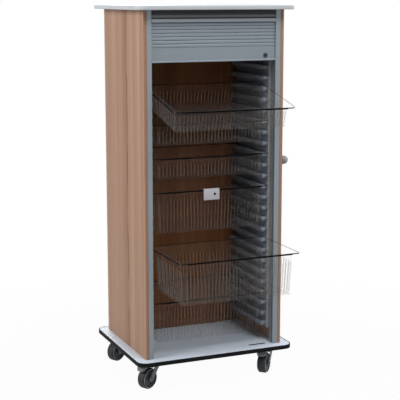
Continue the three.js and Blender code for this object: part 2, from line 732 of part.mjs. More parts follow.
/** All baskets on their ledges, the top one tipped over the round noses of its runners. */
function buildBaskets() {
  let level = 0;
  const noseRadius = LEDGE_HEIGHT / 2;
  for (const { name, rise, height, pull, tilt, divided, labelled } of BASKETS) {
    level += rise;
    const ledgeTop = deckTop + FIRST_LEDGE + level * LEDGE_PITCH;
    const noseY = RUNNER_SETBACK + noseRadius;
    const noseZ = ledgeTop - noseRadius;
    const pivot = new THREE.Group();
    pivot.position.set(0, noseY, noseZ);
    pivot.rotation.x = THREE.MathUtils.degToRad(tilt);
    cabinet.add(pivot);
    const seat = new THREE.Group();
    const middle = BASKET_FRONT_SETBACK + basketDepth / 2 - pull;
    seat.position.set(0, middle - noseY, ledgeTop + FIT - noseZ);
    pivot.add(seat);
    piece(name, basketGeometry(height), 'clear_plastic', seat);
    if (divided) {
      piece('basket_divider', dividerGeometry(height), 'clear_plastic', seat);
    }
    if (labelled) {
      piece('label_holder', labelGeometry(), 'white_plastic', seat);
    }
  }
}

/** Push handle: a round bar in two brackets on the right side panel. */
function buildHandle() {
  const z = deckTop + HANDLE_RISE;
  const radius = HANDLE_DIAMETER / 2;
  const ringRadius = radius + HANDLE_RING;
  const x = BODY_WIDTH / 2 + HANDLE_REACH - ringRadius;
  const profile = [[0, 0]];
  for (let step = 1; step <= ARC_STEPS; step += 1) {
    const angle = (Math.PI / 2) * (step / ARC_STEPS);
    profile.push([radius * Math.sin(angle), HANDLE_END_DOME * (1 - Math.cos(angle))]);
  }
  const far = profile.map(([r, y]) => [r, HANDLE_LENGTH - y]).reverse();
  piece('push_handle_bar', turn([...profile, ...far]).translate(x, HANDLE_START, z), 'grey_plastic');

  const foot = BODY_WIDTH / 2 + FIT;
  const arm = outline([
    [foot, z - HANDLE_BRACKET_FOOT / 2, HANDLE_FOOT_ROUND],
    [x + ringRadius, z - ringRadius, ringRadius - FIT],
    [x + ringRadius, z + ringRadius, ringRadius - FIT],
    [foot, z + HANDLE_BRACKET_FOOT / 2, HANDLE_FOOT_ROUND],
  ]);
  arm.holes.push(circle(HANDLE_DIAMETER + 2 * FIT, [x, z]));
  const frontY = HANDLE_START + HANDLE_BRACKET_INSET;
  const rearY = HANDLE_START + HANDLE_LENGTH - HANDLE_BRACKET_INSET - HANDLE_BRACKET_DEPTH;
  for (const [name, y] of [['handle_bracket_front', frontY], ['handle_bracket_rear', rearY]]) {
    piece(name, extrudeBack(arm, [y, y + HANDLE_BRACKET_DEPTH]), 'grey_plastic');
  }
}

/** The castor's wheel: a moulded hub and a rubber tyre about the axle, with a flat of the tread down. */
function wheelGeometries() {
  const half = WHEEL_WIDTH / 2;
  const flatDown = Math.PI / WHEEL_STEPS;
  const bore = AXLE_DIAMETER / 2 + FIT;
  const boss = bore + HUB_BORE_WALL;
  const rim = WHEEL_DIAMETER / 2 - TYRE_DEPTH;
  const lip = rim - HUB_RIM_DEPTH;
  const web = HUB_WEB / 2;
  const hub = turn([
    [bore, -half], [boss, -half], [boss, -web], [lip, -web], [lip, -half], [rim, -half],
    [rim, half], [lip, half], [lip, web], [boss, web], [boss, half], [bore, half], [bore, -half],
  ], WHEEL_STEPS);
  const tread = WHEEL_DIAMETER / 2 / Math.cos(flatDown);
  const inner = rim + FIT;
  const tyre = turn([
    [inner, -half], [tread - TYRE_ROUND, -half], [tread - TYRE_SHOULDER, -half + TYRE_SHOULDER],
    [tread, -half + TYRE_ROUND], [tread, half - TYRE_ROUND],
    [tread - TYRE_SHOULDER, half - TYRE_SHOULDER], [tread - TYRE_ROUND, half],
    [inner, half], [inner, -half],
  ], WHEEL_STEPS);
  hub.rotateY(flatDown);
  tyre.rotateY(flatDown);
  return { hub, tyre };
}

/** The swivel fork about its stem, with the wheel trailing towards -X. */
function forkGeometry(headTop) {
  const axleZ = WHEEL_DIAMETER / 2;
  const crownBottom = WHEEL_DIAMETER + FORK_CLEARANCE;
  const crownTop = crownBottom + FORK_CROWN;
  const inside = WHEEL_WIDTH / 2 + FORK_CLEARANCE;
  const outside = inside + FORK_WALL;
  const front = FORK_CROWN_FRONT;
  const rear = -FORK_CROWN_REAR;
  const lean = THREE.MathUtils.degToRad(FORK_LEG_LEAN);
  const onLeg = (along, aside) => [
    -CASTOR_TRAIL + along * Math.cos(lean) - aside * Math.sin(lean),
    axleZ + along * Math.sin(lean) + aside * Math.cos(lean),
  ];
  const root = (crownBottom - axleZ - FORK_BOSS * Math.cos(lean)) / Math.sin(lean);
  const leg = outline([
    [front, crownTop],
    [rear, crownTop],
    [rear, crownBottom],
    [...onLeg(root, FORK_BOSS), FORK_ROOT_ROUND],
    [...onLeg(-FORK_BOSS, FORK_BOSS), FORK_BOSS - FIT],
    [...onLeg(-FORK_BOSS, -FORK_BOSS), FORK_BOSS - FIT],
    [...onLeg(FORK_LEG_LENGTH, -FORK_BOSS), FORK_BOSS],
    [front, crownBottom, FORK_CROWN / 2],
  ]);
  const crown = block([rear, front], [-outside, outside], [crownBottom, crownTop]);
  const head = extrudeUp(circle(SWIVEL_DIAMETER), [crownBottom + FORK_CROWN / 2, headTop]);
  const body = join(
    head,
    crown,
    extrudeBack(leg, [inside, outside]),
    extrudeBack(leg, [-outside, -inside]),
  );
  const bore = extrudeBack(
    circle(AXLE_DIAMETER + 2 * FIT, [-CASTOR_TRAIL, axleZ], PIN_STEPS),
    [-outside - OVERCUT, outside + OVERCUT],
  );
  return cut(body, bore);
}

/** The axle bolt through the fork, with a low head at each end. */
function axleGeometry() {
  const outside = WHEEL_WIDTH / 2 + FORK_CLEARANCE + FORK_WALL + FIT;
  const shank = AXLE_DIAMETER / 2;
  const head = AXLE_HEAD_DIAMETER / 2;
  const end = outside + AXLE_HEAD;
  return turn([
    [0, -end], [head, -end], [head, -outside], [shank, -outside],
    [shank, outside], [head, outside], [head, end], [0, end],
  ], PIN_STEPS);
}

/** The brake pedal behind the swivel head, over the wheel: a thick tread on a thin tongue. */
function pedalGeometry(headTop) {
  const start = -SWIVEL_DIAMETER / 2 - PEDAL_HEAD_GAP;
  const heel = -FORK_CROWN_REAR - PEDAL_HEEL_GAP;
  const end = start - PEDAL_LENGTH;
  const bend = start - PEDAL_ARM;
  const top = headTop - PEDAL_TOP_GAP;
  const foot = top - PEDAL_THICKNESS;
  const side = outline([
    [start, top - PEDAL_TONGUE],
    [start, top],
    [bend, top, PEDAL_BEND_RADIUS],
    [end, top - PEDAL_DROP, PEDAL_END_ROUND],
    [end, foot - PEDAL_DROP, PEDAL_END_ROUND],
    [bend, foot, PEDAL_BEND_RADIUS],
    [heel, foot],
    [heel, top - PEDAL_TONGUE],
  ]);
  return extrudeBack(side, [-PEDAL_WIDTH / 2, PEDAL_WIDTH / 2]);
}

/** Four swivel castors under the deck, the front pair with brakes. */
function buildCastors() {
  const plateTop = deckBottom - FIT;
  const plateBottom = plateTop - PLATE_THICKNESS;
  const headTop = plateBottom - FIT;
  const stemX = BODY_WIDTH / 2 + DECK_OVERHANG - CASTOR_INSET;
  const frontY = CASTOR_INSET - DECK_OVERHANG;
  const rearY = BODY_DEPTH + DECK_OVERHANG - CASTOR_INSET;
  for (const { name, side, front, turn: heading, brake } of CASTORS) {
    const mount = new THREE.Group();
    mount.position.set(side * stemX, front ? frontY : rearY, 0);
    cabinet.add(mount);
    const plate = roundedRect(PLATE_LENGTH, PLATE_WIDTH, PLATE_CORNER);
    piece(`castor_plate_${name}`, extrudeUp(plate, [plateBottom, plateTop]), 'fork', mount);
    const swivel = new THREE.Group();
    swivel.rotation.z = THREE.MathUtils.degToRad(heading);
    mount.add(swivel);
    piece(`castor_fork_${name}`, forkGeometry(headTop), 'fork', swivel);
    const { hub, tyre } = wheelGeometries();
    const wheel = new THREE.Group();
    wheel.position.set(-CASTOR_TRAIL, 0, WHEEL_DIAMETER / 2);
    swivel.add(wheel);
    piece(`castor_hub_${name}`, hub, 'hub', wheel);
    piece(`castor_tyre_${name}`, tyre, 'tyre', wheel);
    piece(`castor_axle_${name}`, axleGeometry(), 'steel', wheel);
    if (brake) {
      piece(`brake_pedal_${name}`, pedalGeometry(headTop), 'fork', swivel);
    }
  }
}

buildCarcass();
buildPosts();
buildPelmet();
buildShutter();
buildRail();
buildRunners();
buildBaskets();
buildHandle();
buildCastors();

// The origin is under the middle of the whole object as it stands, with the pulled basket out.
const farthestPull = Math.max(...BASKETS.filter(({ tilt }) => tilt === 0).map(({ pull }) => pull));
const frontReach = BASKET_FRONT_SETBACK - farthestPull;
const backReach = BODY_DEPTH + Math.max(WORKTOP_OVERHANG, DECK_OVERHANG + BUMPER_THICKNESS);
const leftReach = -BODY_WIDTH / 2 - Math.max(WORKTOP_OVERHANG, DECK_OVERHANG + BUMPER_THICKNESS);
const rightReach = BODY_WIDTH / 2 + HANDLE_REACH;
cabinet.position.set(-(leftReach + rightReach) / 2, -(frontReach + backReach) / 2, 0);

export default cabinet;
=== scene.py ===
"""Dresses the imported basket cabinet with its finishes, moulded detail, studio and camera.

Metres, +Z up, +X to the right and +Y to the back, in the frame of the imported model.
"""

import json
import logging
import math
from contextlib import contextmanager
from dataclasses import dataclass
from enum import Enum, IntEnum
from typing import Callable, Iterator, Sequence

import bmesh
import bpy
from mathutils import Matrix, Vector


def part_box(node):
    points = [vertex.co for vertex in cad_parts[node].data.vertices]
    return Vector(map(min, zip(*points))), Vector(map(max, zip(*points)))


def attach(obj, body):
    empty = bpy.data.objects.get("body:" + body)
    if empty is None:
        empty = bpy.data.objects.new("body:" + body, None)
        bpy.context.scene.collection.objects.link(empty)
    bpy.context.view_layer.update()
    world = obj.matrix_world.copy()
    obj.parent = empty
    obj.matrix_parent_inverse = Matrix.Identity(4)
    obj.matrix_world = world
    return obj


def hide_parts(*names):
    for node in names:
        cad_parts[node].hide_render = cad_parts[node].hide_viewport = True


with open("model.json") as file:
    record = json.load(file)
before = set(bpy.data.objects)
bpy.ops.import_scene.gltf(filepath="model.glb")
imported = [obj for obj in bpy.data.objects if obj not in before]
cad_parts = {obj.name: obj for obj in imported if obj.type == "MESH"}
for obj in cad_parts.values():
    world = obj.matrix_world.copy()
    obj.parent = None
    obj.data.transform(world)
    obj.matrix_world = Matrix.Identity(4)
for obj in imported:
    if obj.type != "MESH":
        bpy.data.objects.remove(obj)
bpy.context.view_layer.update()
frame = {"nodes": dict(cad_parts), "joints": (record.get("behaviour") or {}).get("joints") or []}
LOG = logging.getLogger("cabinet")

MM = 0.001
MERGE = 1e-6
SMOOTH_ANGLE = math.radians(38)
SOFT_ANGLE = math.radians(40)
ALONG = 0.9
SQUARE = 0.98
LEVEL = 0.1
HEXAGON = 6
SMALL_TURN = 16
LARGE_TURN = 40
WHITE = (1.0, 1.0, 1.0, 1.0)

Pair = tuple[float, float]
NOISE_SPAN: Pair = (0.3, 0.7)
Color = tuple[float, float, float]
Place = tuple[float, float, float]
Piece = bpy.types.Object
Socket = bpy.types.NodeSocket
Test = Callable[[Vector, Vector], bool]


class Axis(Enum):
    """An axis of the row's frame, by its number."""

    X = 0
    Y = 1
    Z = 2


class Side(Enum):
    """Which side of the cabinet a piece is on."""

    LEFT = -1
    RIGHT = 1

    @property
    def word(self) -> str:
        """The side as names have it."""
        return self.name.lower()


class Pick(Enum):
    """What edit mode selects."""

    POINTS = "VERT"
    EDGES = "EDGE"
    FACES = "FACE"


class Clear(IntEnum):
    """The material slots of a basket."""

    WALL = 0
    RIB = 1
    # RIM and REAR hold the painted dark reflection on the rim's edges.
    RIM = 2
    BAR = 3
    REAR = 4
    FLOOR = 5


# Bench work: selecting, drawing, turning and joining


def deselect() -> None:
    """Leaves nothing selected, so that an operator acts on one piece only."""
    bpy.ops.object.select_all(action="DESELECT")


def take(piece: Piece) -> None:
    """Makes one piece the only selected and the active one.

    Args:
        piece: The piece to take.
    """
    deselect()
    piece.select_set(True)
    bpy.context.view_layer.objects.active = piece


def along(axis: Axis, where: Callable[[Vector], bool] = lambda middle: True) -> Test:
    """A test for edges that run along an axis, or faces that look along it.

    Args:
        axis: The axis.
        where: A further test, of the middle.

    Returns:
        The test of middle and direction.
    """
    return lambda middle, way: abs(way[axis.value]) > ALONG and where(middle)


def level(middle: Vector, way: Vector) -> bool:
    """Tells whether an edge lies level."""
    return abs(way.z) < LEVEL


def choose(piece: Piece, pick: Pick, test: Test) -> None:
    """Selects, in edit mode, what passes a test.

    Args:
        piece: The piece in edit mode.
        pick: Points, edges or faces.
        test: Takes the middle, and an edge's direction or else the normal.
    """
    mesh = bmesh.from_edit_mesh(piece.data)
    if pick is Pick.EDGES:
        ends = [(edge, *(vertex.co for vertex in edge.verts)) for edge in mesh.edges]
        rows = [(edge, (a + b) / 2, (b - a).normalized()) for edge, a, b in ends]
    elif pick is Pick.FACES:
        rows = [(face, face.calc_center_median(), face.normal) for face in mesh.faces]
    else:
        rows = [(vertex, vertex.co, vertex.normal) for vertex in mesh.verts]
    for element, middle, way in rows:
        if test(middle, way):
            element.select_set(True)
    bmesh.update_edit_mesh(piece.data)


@contextmanager
def editing(piece: Piece, pick: Pick, test: Test | None = None) -> Iterator[None]:
    """Opens a piece in edit mode with a selection, and closes it again.

    Args:
        piece: The piece to edit.
        pick: Points, edges or faces.
        test: What is selected, or nothing for all.

    Yields:
        Nothing, while the piece is open.
    """
    take(piece)
    bpy.ops.object.mode_set(mode="EDIT")
    bpy.ops.mesh.select_mode(type=pick.value)
    bpy.ops.mesh.select_all(action="DESELECT" if test else "SELECT")
    if test:
        choose(piece, pick, test)
    yield
    bpy.ops.object.mode_set(mode="OBJECT")


def outward() -> None:
    """Turns all faces of the piece in edit mode outwards."""
    bpy.ops.mesh.select_all(action="SELECT")
    bpy.ops.mesh.normals_make_consistent(inside=False)


def named(name: str) -> Piece:
    """Names the active piece and its mesh alike.

    Args:
        name: The name of both.

    Returns:
        The active piece.
    """
    piece = bpy.context.object
    piece.name = piece.data.name = name
    return piece


def block(name: str, low: Sequence[float], high: Sequence[float]) -> Piece:
    """Adds a box between two corners, as a start for edit mode.

    Args:
        name: The piece's name.
        low: Its lowest corner.
        high: Its highest corner.

    Returns:
        The new piece, with its place in its mesh.
    """
    deselect()
    low, high = Vector(low), Vector(high)
    bpy.ops.mesh.primitive_cube_add(size=1, location=(low + high) / 2, scale=high - low)
    bpy.ops.object.transform_apply(location=True, rotation=True, scale=True)
    return named(name)


def drawn(name: str, points: Sequence[Place]) -> Piece:
    """Draws an open line point by point, by extruding one vertex.

    Args:
        name: The piece's name.
        points: The places that the line runs through.

    Returns:
        A piece that holds the line alone.
    """
    deselect()
    bpy.ops.mesh.primitive_plane_add(size=MM, location=(0, 0, 0))
    piece = named(name)
    with editing(piece, Pick.POINTS):
        bpy.ops.mesh.merge(type="CENTER")
        bpy.ops.transform.translate(value=points[0])
        for start, end in zip(points, points[1:]):
            step = Vector(end) - Vector(start)
            bpy.ops.mesh.extrude_vertices_move(TRANSFORM_OT_translate={"value": step})
    return piece


def prism(name: str, points: Sequence[Place], depth: Place) -> Piece:
    """Draws a closed outline and extrudes it.

    Args:
        name: The piece's name.
        points: The outline's corners, all in one plane.
        depth: The way and distance of the extrusion.

    Returns:
        The closed piece.
    """
    piece = drawn(name, points)
    with editing(piece, Pick.POINTS):
        bpy.ops.mesh.edge_face_add()
        bpy.ops.mesh.extrude_region_move(TRANSFORM_OT_translate={"value": depth})
        outward()
    return piece


def profile(name: str, section: Sequence[Pair], start: float, end: float) -> Piece:
    """Extrudes a section of Y and Z along X.

    Args:
        name: The piece's name.
        section: The section's corners.
        start: Where it starts along X.
        end: Where it ends.

    Returns:
        The closed piece.
    """
    return prism(name, [(start, y, z) for y, z in section], (end - start, 0, 0))


def turned(name: str, line: Sequence[Pair], axis: Axis, centre: Sequence[float], steps: int = 32) -> Piece:
    """Spins a line about an axis.

    Args:
        name: The piece's name.
        line: Pairs of radius and place along the axis. A closed ring repeats its first pair.
        axis: The axis of the turning, Y or Z.
        centre: A point on that axis, which the places along it are counted from.
        steps: Sides of the full turn.

    Returns:
        The closed piece.
    """
    piece = drawn(name, [(radius, 0, place) for radius, place in line])
    with editing(piece, Pick.POINTS):
        bpy.ops.mesh.spin(steps=steps, angle=2 * math.pi, center=(0, 0, 0), axis=(0, 0, 1))
        bpy.ops.mesh.select_all(action="SELECT")
        bpy.ops.mesh.remove_doubles(threshold=MERGE)
        outward()
    turn = Matrix.Rotation(-math.pi / 2, 4, "X") if axis is Axis.Y else Matrix.Identity(4)
    return placed(piece, Matrix.Translation(centre) @ turn)


def rod(radius: float, start: float, end: float) -> list[Pair]:
    """The line of a plain rod, for turning."""
    return [(0, start), (radius, start), (radius, end), (0, end)]


def arc(centre: Pair, radius: float, start: float, end: float, steps: int) -> list[Pair]:
    """Points along an arc.

    Args:
        centre: The arc's centre.
        radius: Its radius.
        start: Its first angle, in degrees.
        end: Its last angle, in degrees.
        steps: The steps between them.

    Returns:
        Pairs in the arc's own plane.
    """
    angles = [math.radians(start + (end - start) * step / steps) for step in range(steps + 1)]
    return [(centre[0] + radius * math.cos(a), centre[1] + radius * math.sin(a)) for a in angles]


def mirrored(line: Sequence[Pair]) -> list[Pair]:
    """A line of radius and place, reversed on the other side of zero."""
    return [(radius, -place) for radius, place in reversed(line)]


def placed(piece: Piece, place: Matrix) -> Piece:
    """Moves a piece and puts the move into its mesh.

    Args:
        piece: The piece.
        place: The move.

    Returns:
        The same piece.
    """
    take(piece)
    piece.matrix_world = place @ piece.matrix_world
    bpy.ops.object.transform_apply(location=True, rotation=True, scale=True)
    return piece


def copied(model: Piece, name: str, place: Matrix) -> Piece:
    """Copies a piece, with its own mesh, to another place.

    Args:
        model: The piece to copy.
        name: The copy's name.
        place: The copy's move from the model.

    Returns:
        The copy.
    """
    take(model)
    bpy.ops.object.duplicate(linked=False)
    return placed(named(name), place)


def repeated(model: Piece, steps: Sequence[Place]) -> list[Piece]:
    """Copies a model to several places and throws the model away.

    Args:
        model: The piece to copy.
        steps: Each copy's step from the model.

    Returns:
        The copies.
    """
    copies = [copied(model, model.name, Matrix.Translation(step)) for step in steps]
    bpy.data.objects.remove(model)
    return copies


def joined(name: str, parts: Sequence[Piece]) -> Piece:
    """Joins parts into one piece.

    Args:
        name: The piece's name.
        parts: The parts, of which the first one stays.

    Returns:
        The joined piece.
    """
    take(parts[0])
    for part in parts:
        part.select_set(True)
    bpy.ops.object.join()
    return named(name)


def modified(piece: Piece, kind: str, **settings: object) -> Piece:
    """Adds a modifier and applies it.

    Args:
        piece: The piece.
        kind: The modifier's type.
        settings: Its values by name.

    Returns:
        The same piece.
    """
    take(piece)
    bpy.ops.object.modifier_add(type=kind)
    modifier = piece.modifiers[-1]
    for key, value in settings.items():
        setattr(modifier, key, value)
    bpy.ops.object.modifier_apply(modifier=modifier.name)
    return piece


def smoothed(piece: Piece) -> Piece:
    """Shades a piece smooth but for its sharp edges.

    Args:
        piece: The piece.

    Returns:
        The same piece.
    """
    take(piece)
    bpy.ops.object.shade_smooth_by_angle(angle=SMOOTH_ANGLE)
    return piece


def softened(piece: Piece, width: float, segments: int = 2) -> Piece:
    """Rounds every sharp edge of a piece.

    Args:
        piece: The piece.
        width: The width of the rounding.
        segments: Its steps.

    Returns:
        The same piece, smooth shaded.
    """
    settings = {"limit_method": "ANGLE", "angle_limit": SOFT_ANGLE}
    return smoothed(modified(piece, "BEVEL", width=width, segments=segments, **settings))


def rounded(piece: Piece, width: float, segments: int, test: Test) -> Piece:
    """Rounds chosen edges of a piece.

    Args:
        piece: The piece.
        width: The radius.
        segments: Its steps.
        test: Takes an edge's middle and its direction.

    Returns:
        The same piece.
    """
    with editing(piece, Pick.EDGES, test):
        bpy.ops.mesh.bevel(offset=width, segments=segments, profile=0.5, affect="EDGES")
    return piece


def bored(piece: Piece, tool: Piece) -> Piece:
    """Cuts a tool's shape out of a piece and throws the tool away.

    Args:
        piece: The piece.
        tool: What is cut out of it.

    Returns:
        The same piece.
    """
    modified(piece, "BOOLEAN", operation="DIFFERENCE", solver="EXACT", object=tool)
    bpy.data.objects.remove(tool)
    return piece


# Finishes


class Graph:
    """The node tree of a material or a world."""

    def __init__(self, owner: bpy.types.Material | bpy.types.World) -> None:
        """Opens the tree, and keeps a material's shader.

        Args:
            owner: The material or world.
        """
        owner.use_nodes = True
        self.owner = owner
        self.nodes = owner.node_tree.nodes
        self.shader = self.nodes.get("Principled BSDF")

    def feed(self, target: Socket, value: object) -> None:
        """Links another node's socket to an input, or sets the input's plain value.

        Args:
            target: The input.
            value: The other socket or the value.
        """
        if isinstance(value, Socket):
            self.owner.node_tree.links.new(value, target)
        else:
            target.default_value = value

    def add(self, kind: str, inputs: dict[str | int, object], **settings: object) -> bpy.types.Node:
        """Adds a node.

        Args:
            kind: The node's type, without the part that all types share.
            inputs: Plain values and other nodes' sockets, by the input's name or number.
            settings: The node's own settings by name.

        Returns:
            The node.
        """
        node = self.nodes.new(f"ShaderNode{kind}")
        for key, value in settings.items():
            setattr(node, key, value)
        for key, value in inputs.items():
            self.feed(node.inputs[key], value)
        return node

    def put(self, **values: object) -> None:
        """Feeds the shader's own inputs, with underscores for spaces."""
        for key, value in values.items():
            self.feed(self.shader.inputs[key.replace("_", " ")], value)

    def place(self) -> Socket:
        """The place on the piece, in its own coordinates."""
        return self.add("TexCoord", {}).outputs["Object"]

    def noise(self, stretch: Place, detail: float = 3.0, warp: float = 0.0) -> Socket:
        """Noise over the piece.

        Args:
            stretch: The noise's counts per metre along X, Y and Z.
            detail: How many finer layers it has.
            warp: How much it is distorted.

        Returns:
            The noise's value.
        """
        vector = self.add("Mapping", {"Vector": self.place(), "Scale": stretch}).outputs["Vector"]
        inputs = {"Vector": vector, "Scale": 1.0, "Detail": detail, "Distortion": warp}
        return self.add("TexNoise", inputs).outputs["Fac"]

    def ramp(self, value: Socket, stops: Sequence[tuple[float, Color]]) -> Socket:
        """Colours along a value.

        Args:
            value: The value's socket.
            stops: Pairs of place and colour.

        Returns:
            The colour's socket.
        """
        node = self.add("ValToRGB", {"Fac": value})
        elements = node.color_ramp.elements
        while len(elements) < len(stops):
            elements.new(0.5)
        for element, (place, color) in zip(elements, stops):
            element.position, element.color = place, (*color, 1.0)
        return node.outputs["Color"]

    def blend(self, share: Socket, first: Socket, second: Color) -> Socket:
        """Mixes a colour into another by a share."""
        inputs = {"Factor": share, "A": first, "B": (*second, 1.0)}
        return self.add("Mix", inputs, data_type="RGBA").outputs["Result"]

    def sum(self, way: str, first: Socket, second: Socket | float = 0.0) -> Socket:
        """Works one value with another in a named way."""
        return self.add("Math", {0: first, 1: second}, operation=way).outputs["Value"]

    def between(self, value: Socket, source: Pair, result: Pair) -> Socket:
        """Maps a value from one range to another."""
        ends = zip(("From Min", "From Max", "To Min", "To Max"), (*source, *result))
        return self.add("MapRange", {"Value": value, **dict(ends)}).outputs["Result"]

    def emboss(self, height: Socket, depth: float, strength: float) -> None:
        """Gives the surface a relief of a depth in metres."""
        node = self.add("Bump", {"Height": height, "Distance": depth, "Strength": strength})
        self.put(Normal=node.outputs["Normal"])


def shade(color: Color, factor: float) -> Color:
    """A colour made lighter or darker by a factor."""
    return (color[0] * factor, color[1] * factor, color[2] * factor)


@dataclass(frozen=True)
class Finish:
    """A surface finish: one material, made when it is first asked for."""

    name: str
    slot: str
    color: Color
    roughness: float = 0.5
    shine: float = 0.5

    def paint(self, graph: Graph) -> None:
        """Sets the shader's plain values."""
        graph.put(Base_Color=(*self.color, 1.0), Roughness=self.roughness, Specular_IOR_Level=self.shine)

    def worn(self, graph: Graph, value: Socket, less: float, more: float) -> None:
        """Lets the gloss vary with a value, by so much less and more roughness."""
        ends = (self.roughness - less, self.roughness + more)
        graph.put(Roughness=graph.between(value, NOISE_SPAN, ends))

    def tone(self, graph: Graph, value: Socket, dark: float, light: float) -> Socket:
        """The colour, darker and lighter by two factors along a value."""
        return graph.ramp(value, list(zip(NOISE_SPAN, (shade(self.color, dark), shade(self.color, light)))))

    def material(self) -> bpy.types.Material:
        """Finds the material of this finish, or makes it.

        Returns:
            The one material of this name.
        """
        found = bpy.data.materials.get(self.name)
        if not found:
            found = bpy.data.materials.new(self.name)
            self.paint(Graph(found))
        return found


@dataclass(frozen=True)
class WoodLaminate(Finish):
    """Wood-grain laminate with upright figure: broad tones, a red heart band, thin lines and fine pores."""

    light: Color = (0.44, 0.31, 0.225)
    red: Color = (0.285, 0.145, 0.094)
    line: Color = (0.15, 0.062, 0.037)
    heart_place: float = 0.11
    heart_half: float = 42 * MM
    line_place: float = 0.082
    line_half: float = 13 * MM
    wander: float = 0.028
    tones: Place = (15, 15, 0.16)
    veins: Place = (46, 46, 0.288)
    vein_share: float = 0.55
    fibres: Place = (420, 420, 9)
    fibre_share: float = 0.26
    relief: float = 0.08 * MM

    def paint(self, graph: Graph) -> None:
        """Layers tones, heart, lines and pores along Z.

        Args:
            graph: The material's graph.
        """
        super().paint(graph)
        tones = graph.noise(self.tones, 2.0, 0.5)
        base = graph.ramp(tones, [(0.36, shade(self.color, 0.87)), (0.5, self.color), (0.64, self.light)])
        veins = graph.between(graph.noise(self.veins, 3.0, 0.8), (0.54, 0.72), (0.0, self.vein_share))
        veined = graph.blend(veins, base, self.red)
        heart = self.stripe(graph, self.heart_place, self.heart_half, (0.5, 1.0), 1.4)
        hearted = graph.blend(heart, veined, self.red)
        dark = self.stripe(graph, self.line_place, self.line_half, (0.1, 1.0), 3.4)
        lined = graph.blend(dark, hearted, self.line)
        fibres = graph.noise(self.fibres, 3.0)
        share = graph.between(fibres, (0.5, 0.75), (0.0, self.fibre_share))
        graph.put(Base_Color=graph.blend(share, lined, shade(self.red, 1.1)))
        self.worn(graph, fibres, 0.06, 0.08)
        graph.emboss(fibres, self.relief, 0.25)

    def stripe(self, graph: Graph, middle: float, half: float, shares: Pair, beat: float) -> Socket:
        """One stripe up the sheet, which wanders and comes and goes.

        Args:
            graph: The material's graph.
            middle: The stripe's place along Y.
            half: Half its width.
            shares: How much of it shows at its faintest and at its fullest.
            beat: How often it comes and goes in a metre.

        Returns:
            How much of the stripe shows.
        """
        across = graph.add("SeparateXYZ", {"Vector": graph.place()}).outputs["Y"]
        drift = graph.between(graph.noise((0, 0, 1.7), 2.0), (0.0, 1.0), (-self.wander, self.wander))
        offset = graph.sum("SUBTRACT", graph.sum("ADD", across, drift), middle)
        line = graph.between(graph.sum("ABSOLUTE", offset), (half, half * 0.2), (0.0, 1.0))
        fade = graph.between(graph.noise((0, 0, beat), 1.0), (0.36, 0.6), shares)
        return graph.sum("MULTIPLY", line, fade)


@dataclass(frozen=True)
class PaleLaminate(Finish):
    """Plain laminate with a fine pearl grain."""

    cloud: Place = (9, 9, 9)
    pearl: Place = (900, 900, 900)
    pearl_share: float = 0.14
    relief: float = 0.03 * MM

    def paint(self, graph: Graph) -> None:
        """Adds a faint cloud and a fine pearl to the colour.

        Args:
            graph: The material's graph.
        """
        super().paint(graph)
        tone = self.tone(graph, graph.noise(self.cloud, 3.0), 0.965, 1.03)
        pearl = graph.noise(self.pearl, 1.0)
        share = graph.between(pearl, (0.45, 0.75), (0.0, self.pearl_share))
        graph.put(Base_Color=graph.blend(share, tone, shade(self.color, 0.82)))
        graph.emboss(pearl, self.relief, 0.2)


@dataclass(frozen=True)
class DrawnMetal(Finish):
    """Satin anodised or coated metal with fine lines along one axis."""

    metal: float = 0.6
    lines: Place = (900, 900, 5)
    cloud: Place = (5, 5, 5)
    cloud_share: float = 0.22
    relief: float = 0.02 * MM

    def paint(self, graph: Graph) -> None:
        """Adds fine lines to colour, gloss and relief.

        Args:
            graph: The material's graph.
        """
        super().paint(graph)
        lines = graph.noise(self.lines, 2.0)
        share = graph.between(graph.noise(self.cloud, 2.0), (0.35, 0.7), (0.0, self.cloud_share))
        tone = graph.blend(share, self.tone(graph, lines, 0.9, 1.08), shade(self.color, 0.86))
        graph.put(Metallic=self.metal, Base_Color=tone)
        self.worn(graph, lines, 0.05, 0.07)
        graph.emboss(lines, self.relief, 0.15)


@dataclass(frozen=True)
class MouldedPlastic(Finish):
    """Moulded plastic or rubber with a fine spark texture and worn tones."""

    cloud: Place = (14, 14, 14)
    spark: Place = (1600, 1600, 1600)
    relief: float = 0.05 * MM
    wear: float = 0.12

    def paint(self, graph: Graph) -> None:
        """Adds the spark texture and a faint cloud of wear.

        Args:
            graph: The material's graph.
        """
        super().paint(graph)
        cloud = graph.noise(self.cloud, 4.0)
        graph.put(Base_Color=self.tone(graph, cloud, 1.0 - self.wear, 1.0 + self.wear))
        self.worn(graph, cloud, 0.05, 0.06)
        graph.emboss(graph.noise(self.spark, 2.0), self.relief, 0.3)


@dataclass(frozen=True)
class ClearPlastic(Finish):
    """Clear moulded plastic, seen through by its alpha, with faint flow marks."""

    alpha: float = 0.2
    flow: Place = (25, 25, 6)

    def paint(self, graph: Graph) -> None:
        """Adds flow marks to the colour and a plain alpha.

        Args:
            graph: The material's graph.
        """
        super().paint(graph)
        flow = graph.noise(self.flow, 2.0, 1.0)
        graph.put(Alpha=self.alpha, Base_Color=self.tone(graph, flow, 0.85, 1.12))


LEVEL_LINES = (4, 900, 900)
TURNED_LINES = (900, 30, 900)
CAST_LINES = (200, 200, 200)

